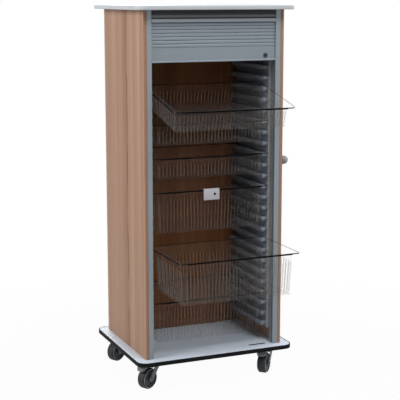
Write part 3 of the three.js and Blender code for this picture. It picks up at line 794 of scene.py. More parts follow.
LAMINATE = WoodLaminate("wood_laminate", "laminate", (0.388, 0.233, 0.157), 0.55, 0.2)
# The interior boards carry painted shade: a much darker copy of the wood laminate, standing in for the shade
# inside the cabinet.
INNER_SHADED = WoodLaminate(
    "wood_inner_painted_shade", "laminate", (0.17, 0.068, 0.026), 0.65, 0.1,
    light=(0.208, 0.088, 0.035), red=(0.106, 0.036, 0.015), line=(0.068, 0.023, 0.009),
)
EDGE_BAND = WoodLaminate(
    "wood_edge_band", "laminate", (0.34, 0.19, 0.122), 0.5, 0.3,
    light=(0.37, 0.235, 0.16), red=(0.24, 0.115, 0.077), line=(0.15, 0.066, 0.042),
)
WORKTOP = PaleLaminate("worktop_laminate", "worktop", (0.51, 0.535, 0.56), 0.5)
DECK = PaleLaminate("deck_laminate", "deck", (0.575, 0.635, 0.72), 0.5, 0.3)
BLACK_RUBBER = MouldedPlastic("bumper_rubber", "bumper", (0.005, 0.005, 0.006), 0.75, 0.12)
POST = DrawnMetal("post_anodised", "post", (0.255, 0.295, 0.325), 0.45, metal=0.3, lines=(900, 900, 4))
SLAT = DrawnMetal("shutter_satin", "shutter", (0.23, 0.265, 0.3), 0.45, metal=0.25, lines=LEVEL_LINES)
BAND = DrawnMetal("pelmet_bead_satin", "shutter", (0.29, 0.33, 0.37), 0.45, metal=0.25, lines=LEVEL_LINES)
# The pelmet's two dark tones are painted shade: the worktop's shadow, deep over the board's face and fainter
# on its foot.
PELMET_SHADOWED = DrawnMetal(
    "pelmet_painted_shadow", "shutter", (0.042, 0.044, 0.047), 0.55, 0.3, metal=0.2, lines=LEVEL_LINES
)
PELMET_FOOT_SOFT_SHADOWED = DrawnMetal(
    "pelmet_foot_satin", "shutter", (0.15, 0.158, 0.164), 0.5, 0.3, metal=0.2, lines=LEVEL_LINES
)
LOCK = DrawnMetal("lock_steel", "lock_metal", (0.1, 0.105, 0.11), 0.35, metal=0.7, lines=TURNED_LINES)
LOCK_PLUG = DrawnMetal(
    "lock_plug_dark", "lock_metal", (0.03, 0.031, 0.033), 0.3, metal=0.6, lines=TURNED_LINES
)
RUNNER = MouldedPlastic("runner_plastic", "runner", (0.23, 0.265, 0.305), 0.55, 0.3)
# The noses and the flange are paler copies of the runner plastic, painted light on the faces that look out
# of the cabinet: the flange much paler, the noses a little.
RUNNER_NOSE_LIT = MouldedPlastic("runner_nose_painted_light", "runner", (0.24, 0.27, 0.305), 0.5, 0.4)
RUNNER_FLANGE_LIT = MouldedPlastic("runner_flange_painted_light", "runner", (0.5, 0.53, 0.55), 0.5, 0.4)
HANDLE = MouldedPlastic("handle_plastic", "handle", (0.27, 0.285, 0.3), 0.4)
CLEAR = ClearPlastic("basket_clear", "clear", (0.3, 0.3, 0.31), 0.15, alpha=0.02)
CLEAR_RIB = ClearPlastic("basket_rib_edge", "clear", (0.14, 0.13, 0.122), 0.3, alpha=0.4)
# The rim's edge finishes are painted dark reflection: near-black on the front and left edges, and fainter at
# the rear.
CLEAR_RIM_DARK_REFLECTION = ClearPlastic("basket_rim_edge", "clear", (0.005, 0.005, 0.005), 0.7, 0.03, alpha=0.95)
CLEAR_BAR = ClearPlastic("basket_rib_face", "clear", (0.3, 0.27, 0.255), 0.25, alpha=0.1)
CLEAR_REAR_DARK_REFLECTION = ClearPlastic("basket_rim_rear", "clear", (0.012, 0.01, 0.009), 0.6, 0.1, alpha=0.6)
CLEAR_FLOOR = ClearPlastic("basket_floor", "clear", (0.12, 0.108, 0.1), 0.3, alpha=0.12)
BASKET_FINISHES = (CLEAR, CLEAR_RIB, CLEAR_RIM_DARK_REFLECTION, CLEAR_BAR, CLEAR_REAR_DARK_REFLECTION, CLEAR_FLOOR)
LABEL = MouldedPlastic("label_white", "label", (0.5, 0.5, 0.54), 0.45, wear=0.02)
LABEL_DOT = MouldedPlastic("label_dot", "label", (0.004, 0.004, 0.005), 0.6, 0.2)
ZINC = DrawnMetal("castor_zinc", "castor_steel", (0.42, 0.43, 0.44), 0.35, metal=0.85, lines=CAST_LINES)
AXLE = DrawnMetal("castor_axle_dark", "castor_steel", (0.12, 0.125, 0.13), 0.45, metal=0.5, lines=CAST_LINES)
FORK = MouldedPlastic("castor_fork_grey", "fork", (0.2, 0.207, 0.212), 0.5, 0.3)
HUB = MouldedPlastic("castor_hub_grey", "hub", (0.05, 0.055, 0.06), 0.5, 0.3)
# The pale ring on the tyre's faces is a painted highlight of the tyre's shoulder.
TYRE_HIGHLIGHT_RING = MouldedPlastic("castor_ring_grey", "hub", (0.3, 0.31, 0.32), 0.4)
TYRE = MouldedPlastic("castor_tyre", "tyre", (0.022, 0.024, 0.028), 0.6, 0.3)


def coat(piece: Piece, *finishes: Finish) -> None:
    """Gives a piece its material slots."""
    for finish in finishes:
        piece.data.materials.append(finish.material())


def tint(piece: Piece, pick: Callable[[bpy.types.MeshPolygon], int]) -> None:
    """Gives each face the material slot that a rule picks."""
    for polygon in piece.data.polygons:
        polygon.material_index = pick(polygon)


def settle(piece: Piece, body: str, finish: Finish, *nodes: str) -> None:
    """Rides a coated piece on its body and reports it.

    Args:
        piece: The piece.
        body: The body that it rides on.
        finish: Its main finish.
        nodes: The CAD nodes that it stands for.
    """
    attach(piece, body)
    if nodes:
        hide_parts(*nodes)
    LOG.info("%s rides on %s in %s", piece.name, body, finish.name)


def dress(piece: Piece, body: str, finish: Finish, *nodes: str) -> None:
    """Coats a piece with one finish and settles it."""
    coat(piece, finish)
    settle(piece, body, finish, *nodes)


def dress_nodes(finish: Finish, *names: str) -> None:
    """Gives CAD nodes, which keep their shape, a finish.

    Args:
        finish: The finish.
        names: The nodes' names.
    """
    for name in names:
        node = frame["nodes"][name]
        node.data.materials.clear()
        coat(node, finish)
        LOG.info("%s keeps its solid in %s", name, finish.name)


def joint(name: str) -> dict:
    """A joint of the frame by its name."""
    return next(entry for entry in frame["joints"] if entry["name"] == name)


# Sub-assemblies


@dataclass
class Carcass:
    """Boards, deck and bumper, with the bands, strip and screws on the boards."""

    worktop_corner: float = 45 * MM
    deck_corner: float = 42 * MM
    corner_steps: int = 14
    board_round: float = 3 * MM
    board_steps: int = 3
    bumper_wall: float = 3.7 * MM
    bumper_round: float = 1.4 * MM
    bumper_steps: int = 3
    band_depth: float = 0.9 * MM
    band_round: float = 0.72 * MM
    band_steps: int = 2
    strip_gap: float = 0.2 * MM
    strip_round: float = 0.8 * MM
    screw_radius: float = 4.2 * MM
    screw_height: float = 1.8 * MM
    screw_steps: int = 4
    screw_slot_half: float = 0.6 * MM
    screw_inset: float = 12 * MM
    screws_each_side: int = 7

    def board(self, node: str, corner: float, finish: Finish) -> None:
        """Models a board with round corners and soft edges.

        Args:
            node: The CAD node that it stands for.
            corner: The corners' radius.
            finish: Its finish.
        """
        piece = block(f"{node}_board", *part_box(node))
        rounded(piece, corner, self.corner_steps, along(Axis.Z))
        rounded(piece, self.board_round, self.board_steps, level)
        dress(smoothed(piece), "cabinet", finish, node)

    def bumper(self) -> None:
        """Models the rubber profile round the deck, as a closed ring."""
        piece = block("deck_bumper_profile", *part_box("deck_bumper"))
        rounded(piece, self.deck_corner + self.bumper_wall, self.corner_steps, along(Axis.Z))
        with editing(piece, Pick.FACES, along(Axis.Z)):
            bpy.ops.mesh.delete(type="FACE")
        modified(piece, "SOLIDIFY", thickness=self.bumper_wall, offset=-1, use_even_offset=True)
        softened(piece, self.bumper_round, self.bumper_steps)
        dress(piece, "cabinet", BLACK_RUBBER, "deck_bumper")

    def bands(self) -> None:
        """Models the edge bands on the front and rear edges of the side panels."""
        proud = Vector((0, self.band_depth, 0))
        for side in Side:
            low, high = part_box(f"side_panel_{side.word}")
            front = block("band", low - proud, (high.x, low.y, high.z))
            rear = block("band", (low.x, high.y, low.z), high + proud)
            piece = joined(f"edge_bands_{side.word}", [front, rear])
            outer = along(Axis.Z, lambda middle: not low.y - MERGE < middle.y < high.y + MERGE)
            rounded(piece, self.band_round, self.band_steps, outer)
            dress(smoothed(piece), "cabinet", EDGE_BAND)

    def skirting(self) -> None:
        """Models the strip that closes the gap between the false back and the deck."""
        low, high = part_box("false_back_panel")
        foot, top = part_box("deck")[1].z + self.strip_gap, low.z - self.strip_gap
        piece = block("back_skirting", (low.x, low.y, foot), (high.x, high.y, top))
        # The strip takes the interior laminate with its painted shade.
        dress(softened(piece, self.strip_round), "cabinet", INNER_SHADED)

    def screws(self) -> None:
        """Models a slotted pan-head screw and copies it along both edges of the back panel."""
        low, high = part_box("outer_back_panel")
        radius, height, half = self.screw_radius, self.screw_height, self.screw_slot_half
        dome = [(radius * x, height * y) for x, y in arc((0, 0), 1.0, 0, 90, self.screw_steps)]
        model = turned("screw", [(0, 0), *dome, (0, height)], Axis.Y, (0, high.y, 0), SMALL_TURN)
        bored(model, block(
            "slot", (-radius, high.y + height / 2, -half), (radius, high.y + height * 2, half)
        ))
        inset = self.screw_inset
        pitch = (high.z - low.z - 2 * inset) / (self.screws_each_side - 1)
        heights = [low.z + inset + index * pitch for index in range(self.screws_each_side)]
        steps = [(x, 0, z) for x in (low.x + inset, high.x - inset) for z in heights]
        dress(smoothed(joined("back_panel_screws", repeated(model, steps))), "cabinet", ZINC)

    def build(self) -> None:
        """Builds the carcass and dresses the boards that keep their solids."""
        self.board("worktop", self.worktop_corner, WORKTOP)
        self.board("deck", self.deck_corner, DECK)
        self.bumper()
        self.bands()
        self.skirting()
        self.screws()
        dress_nodes(LAMINATE, "side_panel_left", "side_panel_right", "outer_back_panel")
        # The false back and the inner ceiling take the interior laminate with its painted shade.
        dress_nodes(INNER_SHADED, "false_back_panel", "inner_ceiling")
        dress_nodes(POST, "front_post_left", "front_post_right")
        dress_nodes(BLACK_RUBBER, "strike_plate")


@dataclass
class Shutter:
    """Pelmet, ribbed curtain, handle rail and lock."""

    rib_pitch: float = 16 * MM
    rib_gap: float = 1.5 * MM
    rib_round: float = 2.6 * MM
    rib_steps: int = 4
    backing: float = 4.5 * MM
    lip_height: float = 9 * MM
    lip_slope: float = 2 * MM
    lip_round: float = 1.6 * MM
    lip_steps: int = 4
    bead_gap: float = 1.2 * MM
    bead_round: float = 3 * MM
    bead_steps: int = 5
    groove_top: float = 4 * MM
    foot_top: float = 14 * MM
    foot_slope_top: float = 17 * MM
    foot_reach: float = 3 * MM
    pelmet_round: float = 0.5 * MM
    hole_gap: float = 0.3 * MM
    hole_spare: float = 4 * MM
    ring_gap: float = 0.2 * MM
    ring_dish: float = 0.7 * MM
    plug_gap: float = 0.1 * MM
    plug_edge: float = 0.6 * MM
    key_slot: Place = (1.0 * MM, 1.6 * MM, 4.4 * MM)

    def pelmet(self) -> None:
        """Models the pelmet board, with a foot that stands forward of its face over a groove, in painted
        shade: the worktop's shadow, deep on the face and fainter on the foot.
        """
        low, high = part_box("pelmet")
        face = low.y + self.foot_reach
        groove, foot, slope = (low.z + up for up in (self.groove_top, self.foot_top, self.foot_slope_top))
        section = [
            (face, low.z), (face, groove), (low.y, groove), (low.y, foot),
            (face, slope), (face, high.z), (high.y, high.z), (high.y, low.z),
        ]
        piece = softened(profile("pelmet_board", section, low.x, high.x), self.pelmet_round)
        coat(piece, PELMET_SHADOWED, PELMET_FOOT_SOFT_SHADOWED)
        # The foot's front faces take the fainter painted shade, all other faces the deep painted shadow of
        # the worktop.
        tint(piece, lambda polygon: int(polygon.center.y < face - MERGE))
        settle(piece, "cabinet", PELMET_SHADOWED, "pelmet")

    def bead(self) -> None:
        """Models the rounded band at the foot of the pelmet."""
        low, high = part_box("pelmet_band")
        gap = Vector((0, 0, self.bead_gap))
        piece = block("pelmet_bead", low + gap, high - gap)
        front = along(Axis.X, lambda middle: middle.y < low.y + MERGE)
        rounded(piece, self.bead_round, self.bead_steps, front)
        dress(smoothed(piece), "cabinet", BAND, "pelmet_band")

    def curtain(self) -> None:
        """Models the front curtain: one rounded rib, copied up a thin backing."""
        low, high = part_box("shutter_curtain")
        count = round((high.z - low.z) / self.rib_pitch)
        pitch = (high.z - low.z) / count
        back = high.y - self.backing
        rib = block("rib", low, (high.x, back, low.z + pitch - self.rib_gap))
        rounded(rib, self.rib_round, self.rib_steps, along(Axis.X, lambda middle: middle.y < low.y + MERGE))
        ribs = repeated(rib, [(0, 0, index * pitch) for index in range(count)])
        piece = joined("curtain_ribs", [block("backing", (low.x, back, low.z), high), *ribs])
        dress(smoothed(piece), "shutter", SLAT, "shutter_curtain")

    def rail(self) -> None:
        """Models the handle rail: a flat face over a rounded pull lip, with the lock's hole."""
        low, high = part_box("shutter_rail")
        face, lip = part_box("shutter_curtain")[0].y, low.z + self.lip_height
        section = [
            (high.y, low.z), (high.y, high.z), (face, high.z),
            (face, lip), (low.y, lip - self.lip_slope), (low.y, low.z),
        ]
        piece = profile("handle_rail", section, low.x, high.x)
        outer = along(Axis.X, lambda middle: middle.y < (low.y + face) / 2)
        rounded(piece, self.lip_round, self.lip_steps, outer)
        start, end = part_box("lock_barrel")
        deep = high.y - face + self.hole_spare
        line = rod((end.x - start.x) / 2 + self.hole_gap, -deep, deep)
        bored(piece, turned("hole", line, Axis.Y, (start + end) / 2))
        dress(smoothed(piece), "shutter", SLAT, "shutter_rail")

    def lock(self) -> None:
        """Models the lock's dished rosette and its barrel with a key slot."""
        low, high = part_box("lock_rosette")
        start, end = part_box("lock_barrel")
        front, back = start.y, end.y
        x, z = (start.x + end.x) / 2, (start.z + end.z) / 2
        outer, barrel, dish = (high.x - low.x) / 2, (end.x - start.x) / 2, self.ring_dish
        inner = barrel + self.ring_gap
        ring = [
            (inner, high.y), (outer, high.y), (outer, low.y + dish), (outer - dish, low.y),
            (inner + dish, low.y), (inner, low.y + dish), (inner, high.y),
        ]
        rosette = turned("lock_ring", ring, Axis.Y, (x, 0, z), LARGE_TURN)
        dress(smoothed(rosette), "shutter", LOCK, "lock_rosette")
        radius, edge = barrel - self.plug_gap, self.plug_edge
        core = [(0, front), (radius - edge, front), (radius, front + edge), (radius, back), (0, back)]
        plug = turned("lock_plug", core, Axis.Y, (x, 0, z))
        middle, half = Vector((x, front, z)), Vector(self.key_slot)
        bored(plug, block("slot", middle - half, middle + half))
        dress(smoothed(plug), "lock_barrel", LOCK_PLUG, "lock_barrel")

    def build(self) -> None:
        """Builds the shutter and dresses the pieces that keep their solids."""
        self.pelmet()
        self.bead()
        self.curtain()
        self.rail()
        self.lock()
        dress_nodes(LOCK, "lock_bolt")
        dress_nodes(SLAT, "shutter_upper_slats", "stored_curtain")
        dress_nodes(POST, "curtain_track_left", "curtain_track_right")


@dataclass
class RunnerPanels:
    """Moulded side panels with round-nosed ledges and a front flange."""

    pitch: float = 52.5 * MM
    ledge_height: float = 21 * MM
    first_top: float = 34.7 * MM
    plate: float = 8 * MM
    ledge_reach: float = 28 * MM
    flange: float = 3 * MM
    edge_round: float = 1.6 * MM
    nose_steps: int = 8
    rubbed_slope: float = 0.3

    def panel(self, side: Side, node: str) -> Piece:
        """One panel with all its ledges.

        Args:
            side: The cabinet's side.
            node: The CAD node that it stands for.

        Returns:
            The panel.
        """
        low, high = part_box(node)
        inner, outer = (high.x, low.x) if side is Side.LEFT else (low.x, high.x)
        face = inner + side.value * self.ledge_reach
        back, flange = face + side.value * self.plate, low.y + self.flange
        outline = [
            (face, low.y), (outer, low.y), (outer, flange), (back, flange), (back, high.y), (face, high.y),
        ]
        plate = prism("plate", [(x, y, low.z) for x, y in outline], (0, 0, high.z - low.z))
        radius, top = self.ledge_height / 2, low.z + self.first_top
        nose = arc((low.y + radius, top - radius), radius, 90, 270, self.nose_steps)
        section = [*nose, (high.y, top - self.ledge_height), (high.y, top)]
        root = inner + side.value * (self.ledge_reach + self.plate / 2)
        ledge = softened(profile("ledge", section, inner, root), self.edge_round)
        count = int((high.z - low.z - self.first_top) / self.pitch) + 1
        ledges = repeated(ledge, [(0, 0, index * self.pitch) for index in range(count)])
        name = node.replace("_panel", "")
        return smoothed(joined(name, [softened(plate, self.edge_round), *ledges]))

    def finish(self, piece: Piece, side: Side) -> None:
        """Gives the faces that look out of the cabinet paler finishes, as painted light: much paler on the
        flange, a little on the noses.

        Args:
            piece: The panel.
            side: The cabinet's side.
        """
        tip = min(side.value * vertex.co.x for vertex in piece.data.vertices)

        def rubbed(polygon: bpy.types.MeshPolygon) -> int:
            """Tells plain faces, noses and the flange apart.

            Args:
                polygon: The face.

            Returns:
                Its material slot.
            """
            # Faces that look forward are painted lighter, for the light that falls on them from the front.
            if polygon.normal.y >= -self.rubbed_slope:
                return 0
            return 2 if side.value * polygon.center.x > tip + self.ledge_reach else 1

        coat(piece, RUNNER, RUNNER_NOSE_LIT, RUNNER_FLANGE_LIT)
        tint(piece, rubbed)

    def build(self) -> None:
        """Builds and dresses the four panels."""
        for side in Side:
            for height in ("lower", "upper"):
                node = f"runner_panel_{side.word}_{height}"
                piece = self.panel(side, node)
                self.finish(piece, side)
                settle(piece, "cabinet", RUNNER, node)


@dataclass
class Basket:
    """A clear basket about its rim: X and Y centred, the rim's underside at Z = 0."""

    height: float
    plain_top: float
    width: float = 600 * MM
    depth: float = 400 * MM
    rim: float = 24 * MM
    wall: float = 2.2 * MM
    rim_top: float = 4 * MM
    rim_bead: float = 4.5 * MM
    lip_drop: float = 3.2 * MM
    lip_round: float = 0.8 * MM
    corner: float = 18 * MM
    corner_steps: int = 5
    draft: float = 0.04
    plain_foot: float = 9 * MM
    slot_pitch: Pair = (17.5 * MM, 24 * MM)
    columns_per_slot: int = 3
    floor_band: float = 12 * MM
    floor_pitch: float = 26 * MM

    def __post_init__(self) -> None:
        """Works out the mouth, the floor's height and how far the draft draws the foot in."""
        self.half = Vector((self.width / 2 - self.rim, self.depth / 2 - self.rim, 0))
        self.foot = self.rim_top - self.height
        self.draw_in = self.draft * self.height

    def tub(self) -> Piece:
        """The drafted tub as an open shell, with its rim spread out from its mouth.

        Returns:
            The shell, without thickness.
        """
        half, foot = self.half, self.foot
        piece = block("tub", (-half.x, -half.y, foot), (half.x, half.y, 0))
        rounded(piece, self.corner, self.corner_steps, along(Axis.Z))
        with editing(piece, Pick.FACES, lambda middle, normal: normal.z < -ALONG):
            shrink = ((half.x - self.draw_in) / half.x, (half.y - self.draw_in) / half.y, 1)
            bpy.ops.transform.resize(value=shrink, center_override=(0, 0, foot))
        with editing(piece, Pick.FACES, along(Axis.Z)):
            bpy.ops.mesh.delete(type="FACE")
        self.slots(piece)
        with editing(piece, Pick.EDGES, lambda middle, way: middle.z > -MERGE and level(middle, way)):
            before = half
            for reach in (self.rim - self.rim_bead, self.rim):
                bpy.ops.mesh.extrude_edges_move(TRANSFORM_OT_translate={"value": (0, 0, 0)})
                spread = ((half.x + reach) / before.x, (half.y + reach) / before.y, 1)
                bpy.ops.transform.resize(value=spread, center_override=(0, 0, 0))
                before = half + Vector((reach, reach, 0))
        with editing(piece, Pick.FACES):
            outward()
            faces = bmesh.from_edit_mesh(piece.data).faces
            rearward = max(faces, key=lambda face: face.normal.y)
            if rearward.calc_center_median().y < 0:
                bpy.ops.mesh.flip_normals()
        return piece

    def slots(self, piece: Piece) -> None:
        """Divides the tub's walls into columns and rows and takes the slots out.

        Args:
            piece: The tub.
        """
        spans = [2 * (half - self.corner) for half in self.half.xy]
        pitches = zip(spans, self.slot_pitch)
        counts = [round(span / pitch) * self.columns_per_slot + 1 for span, pitch in pitches]
        for axis, count in zip((Axis.X, Axis.Y), counts):
            with editing(piece, Pick.EDGES, along(axis, lambda middle: abs(middle[axis.value]) < MM)):
                bpy.ops.mesh.subdivide(number_cuts=count - 1)
        with editing(piece, Pick.EDGES, along(Axis.Z)):
            bpy.ops.mesh.subdivide(number_cuts=2)
        self.shift_row(piece, self.foot / 3, -self.plain_top)
        self.shift_row(piece, self.foot * 2 / 3, self.foot + self.plain_foot)
        tall = (self.foot + self.plain_foot - self.plain_top) / 2

        def in_slot(middle: Vector, normal: Vector) -> bool:
            """Tells whether a wall face lies in a slot.

            Args:
                middle: The face's middle.
                normal: Its normal.

            Returns:
                True in a slot.
            """
            if abs(middle.z - tall) > MM or max(abs(normal.x), abs(normal.y)) < SQUARE:
                return False
            way = Axis.Y.value if abs(normal.x) > ALONG else Axis.X.value
            share = 1 - self.draft * (self.plain_top - tall) / 2 / spans[way]
            column = math.floor((middle[way] / share / spans[way] + 0.5) * counts[way])
            return 0 < column < counts[way] - 1 and column % self.columns_per_slot != 0

        with editing(piece, Pick.FACES, in_slot):
            bpy.ops.mesh.delete(type="FACE")

    def shift_row(self, piece: Piece, height: float, target: float) -> None:
        """Moves a ring of wall points up or down along the drafted wall.

        Args:
            piece: The tub.
            height: Where the ring is.
            target: Where it goes.
        """
        slope = self.draw_in / -self.foot
        grow = [(half + slope * target) / (half + slope * height) for half in self.half.xy]

        def in_row(middle: Vector, way: Vector) -> bool:
            """Tells whether an edge lies in the ring."""
            return abs(middle.z - height) < MM / 2 and level(middle, way)

        with editing(piece, Pick.EDGES, in_row):
            bpy.ops.transform.resize(value=(*grow, 1), center_override=(0, 0, height))
            bpy.ops.transform.translate(value=(0, 0, target - height))

    def floor(self) -> Piece:
        """The basket's floor as a lattice in a plain band.

        Returns:
            The floor, without thickness.
        """
        size = [2 * (half - self.draw_in) for half in self.half.xy]
        inner = [length - 2 * self.floor_band for length in size]
        counts = [round(length / self.floor_pitch) * 2 + 1 for length in inner]
        deselect()
        bpy.ops.mesh.primitive_grid_add(x_subdivisions=counts[0], y_subdivisions=counts[1], size=1)
        place = Matrix.Translation((0, 0, self.foot)) @ Matrix.Diagonal((*inner, 1, 1))
        piece = placed(named("floor"), place)

        def is_hole(middle: Vector, normal: Vector) -> bool:
            """Tells whether a cell of the lattice is open."""
            cells = zip(middle.xy, inner, counts)
            return all(math.floor((at / length + 0.5) * count) % 2 for at, length, count in cells)

        def on_border(lengths: Sequence[float], middle: Vector) -> list[bool]:
            """Tells, for X and Y, whether a place is at the border of a size."""
            return [abs(at) > length / 2 - MERGE for at, length in zip(middle.xy, lengths)]

        with editing(piece, Pick.FACES, is_hole):
            bpy.ops.mesh.delete(type="FACE")
        with editing(piece, Pick.EDGES, lambda middle, way: any(on_border(inner, middle))):
            bpy.ops.mesh.extrude_edges_move(TRANSFORM_OT_translate={"value": (0, 0, 0)})
            spread = (size[0] / inner[0], size[1] / inner[1], 1)
            bpy.ops.transform.resize(value=spread, center_override=(0, 0, self.foot))
        with editing(piece, Pick.POINTS, lambda middle, normal: all(on_border(size, middle))):
            bpy.ops.mesh.bevel(offset=self.corner, segments=self.corner_steps, affect="VERTICES")
            outward()
        return piece

    def lip(self) -> Piece:
        """The bead that hangs under the rim's front edge.

        Returns:
            The bead, in the rim edge's painted dark reflection.
        """
        half_x, front = self.width / 2 - self.corner - self.rim, -self.depth / 2
        piece = block("lip", (-half_x, front, -self.lip_drop), (half_x, front + self.rim_bead, 0))
        softened(piece, self.lip_round)
        coat(piece, *BASKET_FINISHES)
        # The whole bead takes the near-black painted reflection.
        tint(piece, lambda polygon: Clear.RIM)
        return piece

    def build(self) -> Piece:
        """Builds the basket in its own frame, with its edges in their own finishes.

        Returns:
            The basket.
        """
        tub, floor = self.tub(), self.floor()
        for part in (tub, floor):
            coat(part, *BASKET_FINISHES)
        modified(tub, "SOLIDIFY", thickness=self.wall, offset=-1, material_offset_rim=Clear.RIB)
        top = self.wall - MERGE
        with editing(tub, Pick.FACES, lambda middle, normal: middle.z > top and normal.z > ALONG):
            bpy.ops.transform.translate(value=(0, 0, self.rim_top - self.wall))
        modified(floor, "SOLIDIFY", thickness=self.wall, offset=0)
        placed(floor, Matrix.Translation((0, 0, self.wall / 2)))
        tint(floor, lambda polygon: Clear.FLOOR)
        piece = joined("basket", [tub, floor, self.lip()])
        edge_x, edge_y = self.width / 2 - self.rim_bead, self.depth / 2 - self.rim_bead
        row_low, row_high = self.foot + self.plain_foot, -self.plain_top

        def finish(polygon: bpy.types.MeshPolygon) -> int:
            """Tells the rim's edges and the bars between the slots from the rest.

            Args:
                polygon: The face.

            Returns:
                Its material slot.
            """
            middle, normal, kept = polygon.center, polygon.normal, polygon.material_index
            # The rim's outer edges carry painted dark reflection: near-black at the front and left, fainter
            # at the rear, while the right edges stay in the paler rib-edge finish without the dark line.
            if middle.z > -MERGE and (abs(middle.x) > edge_x or abs(middle.y) > edge_y):
                if middle.x > edge_x:
                    return Clear.RIB
                return Clear.REAR if middle.y > edge_y else Clear.RIM
            in_row = kept == Clear.WALL and row_low < middle.z < row_high
            return Clear.BAR if in_row and max(abs(normal.x), abs(normal.y)) > SQUARE else kept

        tint(piece, finish)
        return smoothed(piece)


@dataclass
class Baskets:
    """All baskets in their places, with the divider and the label holder."""

    shallow: Basket
    deep: Basket
    divider_taper: float = 6 * MM
    divider_corner: float = 14 * MM
    divider_steps: int = 5
    label_thick: float = 2.5 * MM
    label_round: float = 0.5 * MM
    stud_share: Pair = (0.7, 0.52)
    stud_radius: float = 6.5 * MM
    stud_proud: float = 0.6 * MM
    stud_face: float = 0.8
    stud_steps: int = 24

    def place(self, node: str) -> Matrix:
        """Where a basket stands, from its CAD node.

        Args:
            node: The basket's node.

        Returns:
            The place of the basket's own frame.
        """
        low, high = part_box(node)
        middle, rim_top = (low + high) / 2, self.shallow.rim_top
        if node != "basket_shallow_top":
            return Matrix.Translation((middle.x, middle.y, high.z - rim_top))
        tilt = math.radians(joint("basket_shallow_top_tilt")["range_deg"][1])
        half = self.shallow.depth / 2
        y = low.y + half * math.cos(tilt) + rim_top * math.sin(tilt)
        z = high.z - half * math.sin(tilt) - rim_top * math.cos(tilt)
        return Matrix.Translation((middle.x, y, z)) @ Matrix.Rotation(tilt, 4, "X")

    def divider(self) -> None:
        """Models the clear plate that parts the pulled basket."""
        low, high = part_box("basket_divider")
        taper = self.divider_taper
        section = [
            (low.y + taper, low.z), (high.y - taper, low.z), (high.y, high.z), (low.y, high.z),
        ]
        piece = profile("divider_plate", section, low.x, high.x)
        upper = along(Axis.X, lambda middle: middle.z > high.z - MM)
        rounded(piece, self.divider_corner, self.divider_steps, upper)

        def finish(polygon: bpy.types.MeshPolygon) -> int:
            """Tells the plate's faces, its front edge and its other edges apart.

            Args:
                polygon: The face.

            Returns:
                Its material slot.
            """
            if abs(polygon.normal.x) >= 0.5:
                return Clear.WALL
            # The front edge carries the near-black painted reflection of the rims; the other edges take the
            # rib-edge finish.
            return Clear.RIM if polygon.normal.y < -ALONG else Clear.RIB

        coat(piece, CLEAR, CLEAR_RIB, CLEAR_RIM_DARK_REFLECTION)
        tint(piece, finish)
        settle(smoothed(piece), "basket_deep_middle", CLEAR, "basket_divider")

    def label(self) -> None:
        """Models the white label holder that hooks over a rim, and its dark stud."""
        low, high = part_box("label_holder")
        back, hook = low.y + self.label_thick, high.z - self.label_thick
        section = [
            (low.y, low.z), (back, low.z), (back, hook), (high.y, hook), (high.y, high.z), (low.y, high.z),
        ]
        holder = softened(profile("label_card", section, low.x, high.x), self.label_round)
        dress(holder, "basket_deep_upper", LABEL, "label_holder")
        across, up = self.stud_share
        centre = (low.x + (high.x - low.x) * across, low.y, low.z + (high.z - low.z) * up)
        radius, proud = self.stud_radius, self.stud_proud
        line = [(0, -proud), (radius * self.stud_face, -proud), (radius, 0), (0, 0)]
        stud = turned("label_stud", line, Axis.Y, centre, self.stud_steps)
        dress(smoothed(stud), "basket_deep_upper", LABEL_DOT)

    def build(self) -> None:
        """Builds each kind of basket once and copies it to its places."""
        kinds = {
            "deep": (self.deep, ("bottom", "middle", "upper")),
            "shallow": (self.shallow, ("lower", "middle", "top")),
        }
        for kind, (basket, heights) in kinds.items():
            model = basket.build()
            for height in heights:
                node = f"basket_{kind}_{height}"
                settle(copied(model, f"{node}_moulding", self.place(node)), node, CLEAR, node)
            bpy.data.objects.remove(model)
        self.divider()
        self.label()


@dataclass
class PushHandle:
    """Round push bar with two brackets."""

    dome_share: float = 0.6
    dome_steps: int = 6
    nose_share: float = 1 / 3
    nose_steps: int = 10
    bracket_round: float = 2.5 * MM
    bracket_steps: int = 3

    def bar(self) -> None:
        """Models the bar with domed ends."""
        low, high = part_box("push_handle_bar")
        middle, radius, half = (low + high) / 2, (high.z - low.z) / 2, (high.y - low.y) / 2
        dome = radius * self.dome_share
        quarter = arc((0, 0), 1, 0, 90, self.dome_steps)[:-1]
        rear = [*((radius * x, half - dome * (1 - y)) for x, y in quarter), (0, half)]
        piece = turned("push_bar", [*mirrored(rear), *rear], Axis.Y, middle, LARGE_TURN)
        dress(smoothed(piece), "cabinet", HANDLE, "push_handle_bar")

    def bracket(self, node: str) -> None:
        """Models a bracket from the side panel round the bar.

        Args:
            node: The CAD node that it stands for.
        """
        low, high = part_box(node)
        radius = (high.z - low.z) * self.nose_share
        nose = arc((high.x - radius, (low.z + high.z) / 2), radius, -90, 90, self.nose_steps)
        outline = [*nose, (low.x, high.z), (low.x, low.z)]
        piece = prism(f"{node}_arm", [(x, low.y, z) for x, z in outline], (0, high.y - low.y, 0))
        dress(softened(piece, self.bracket_round, self.bracket_steps), "cabinet", HANDLE, node)

    def build(self) -> None:
        """Builds the handle."""
        self.bar()
        self.bracket("handle_bracket_front")
        self.bracket("handle_bracket_rear")


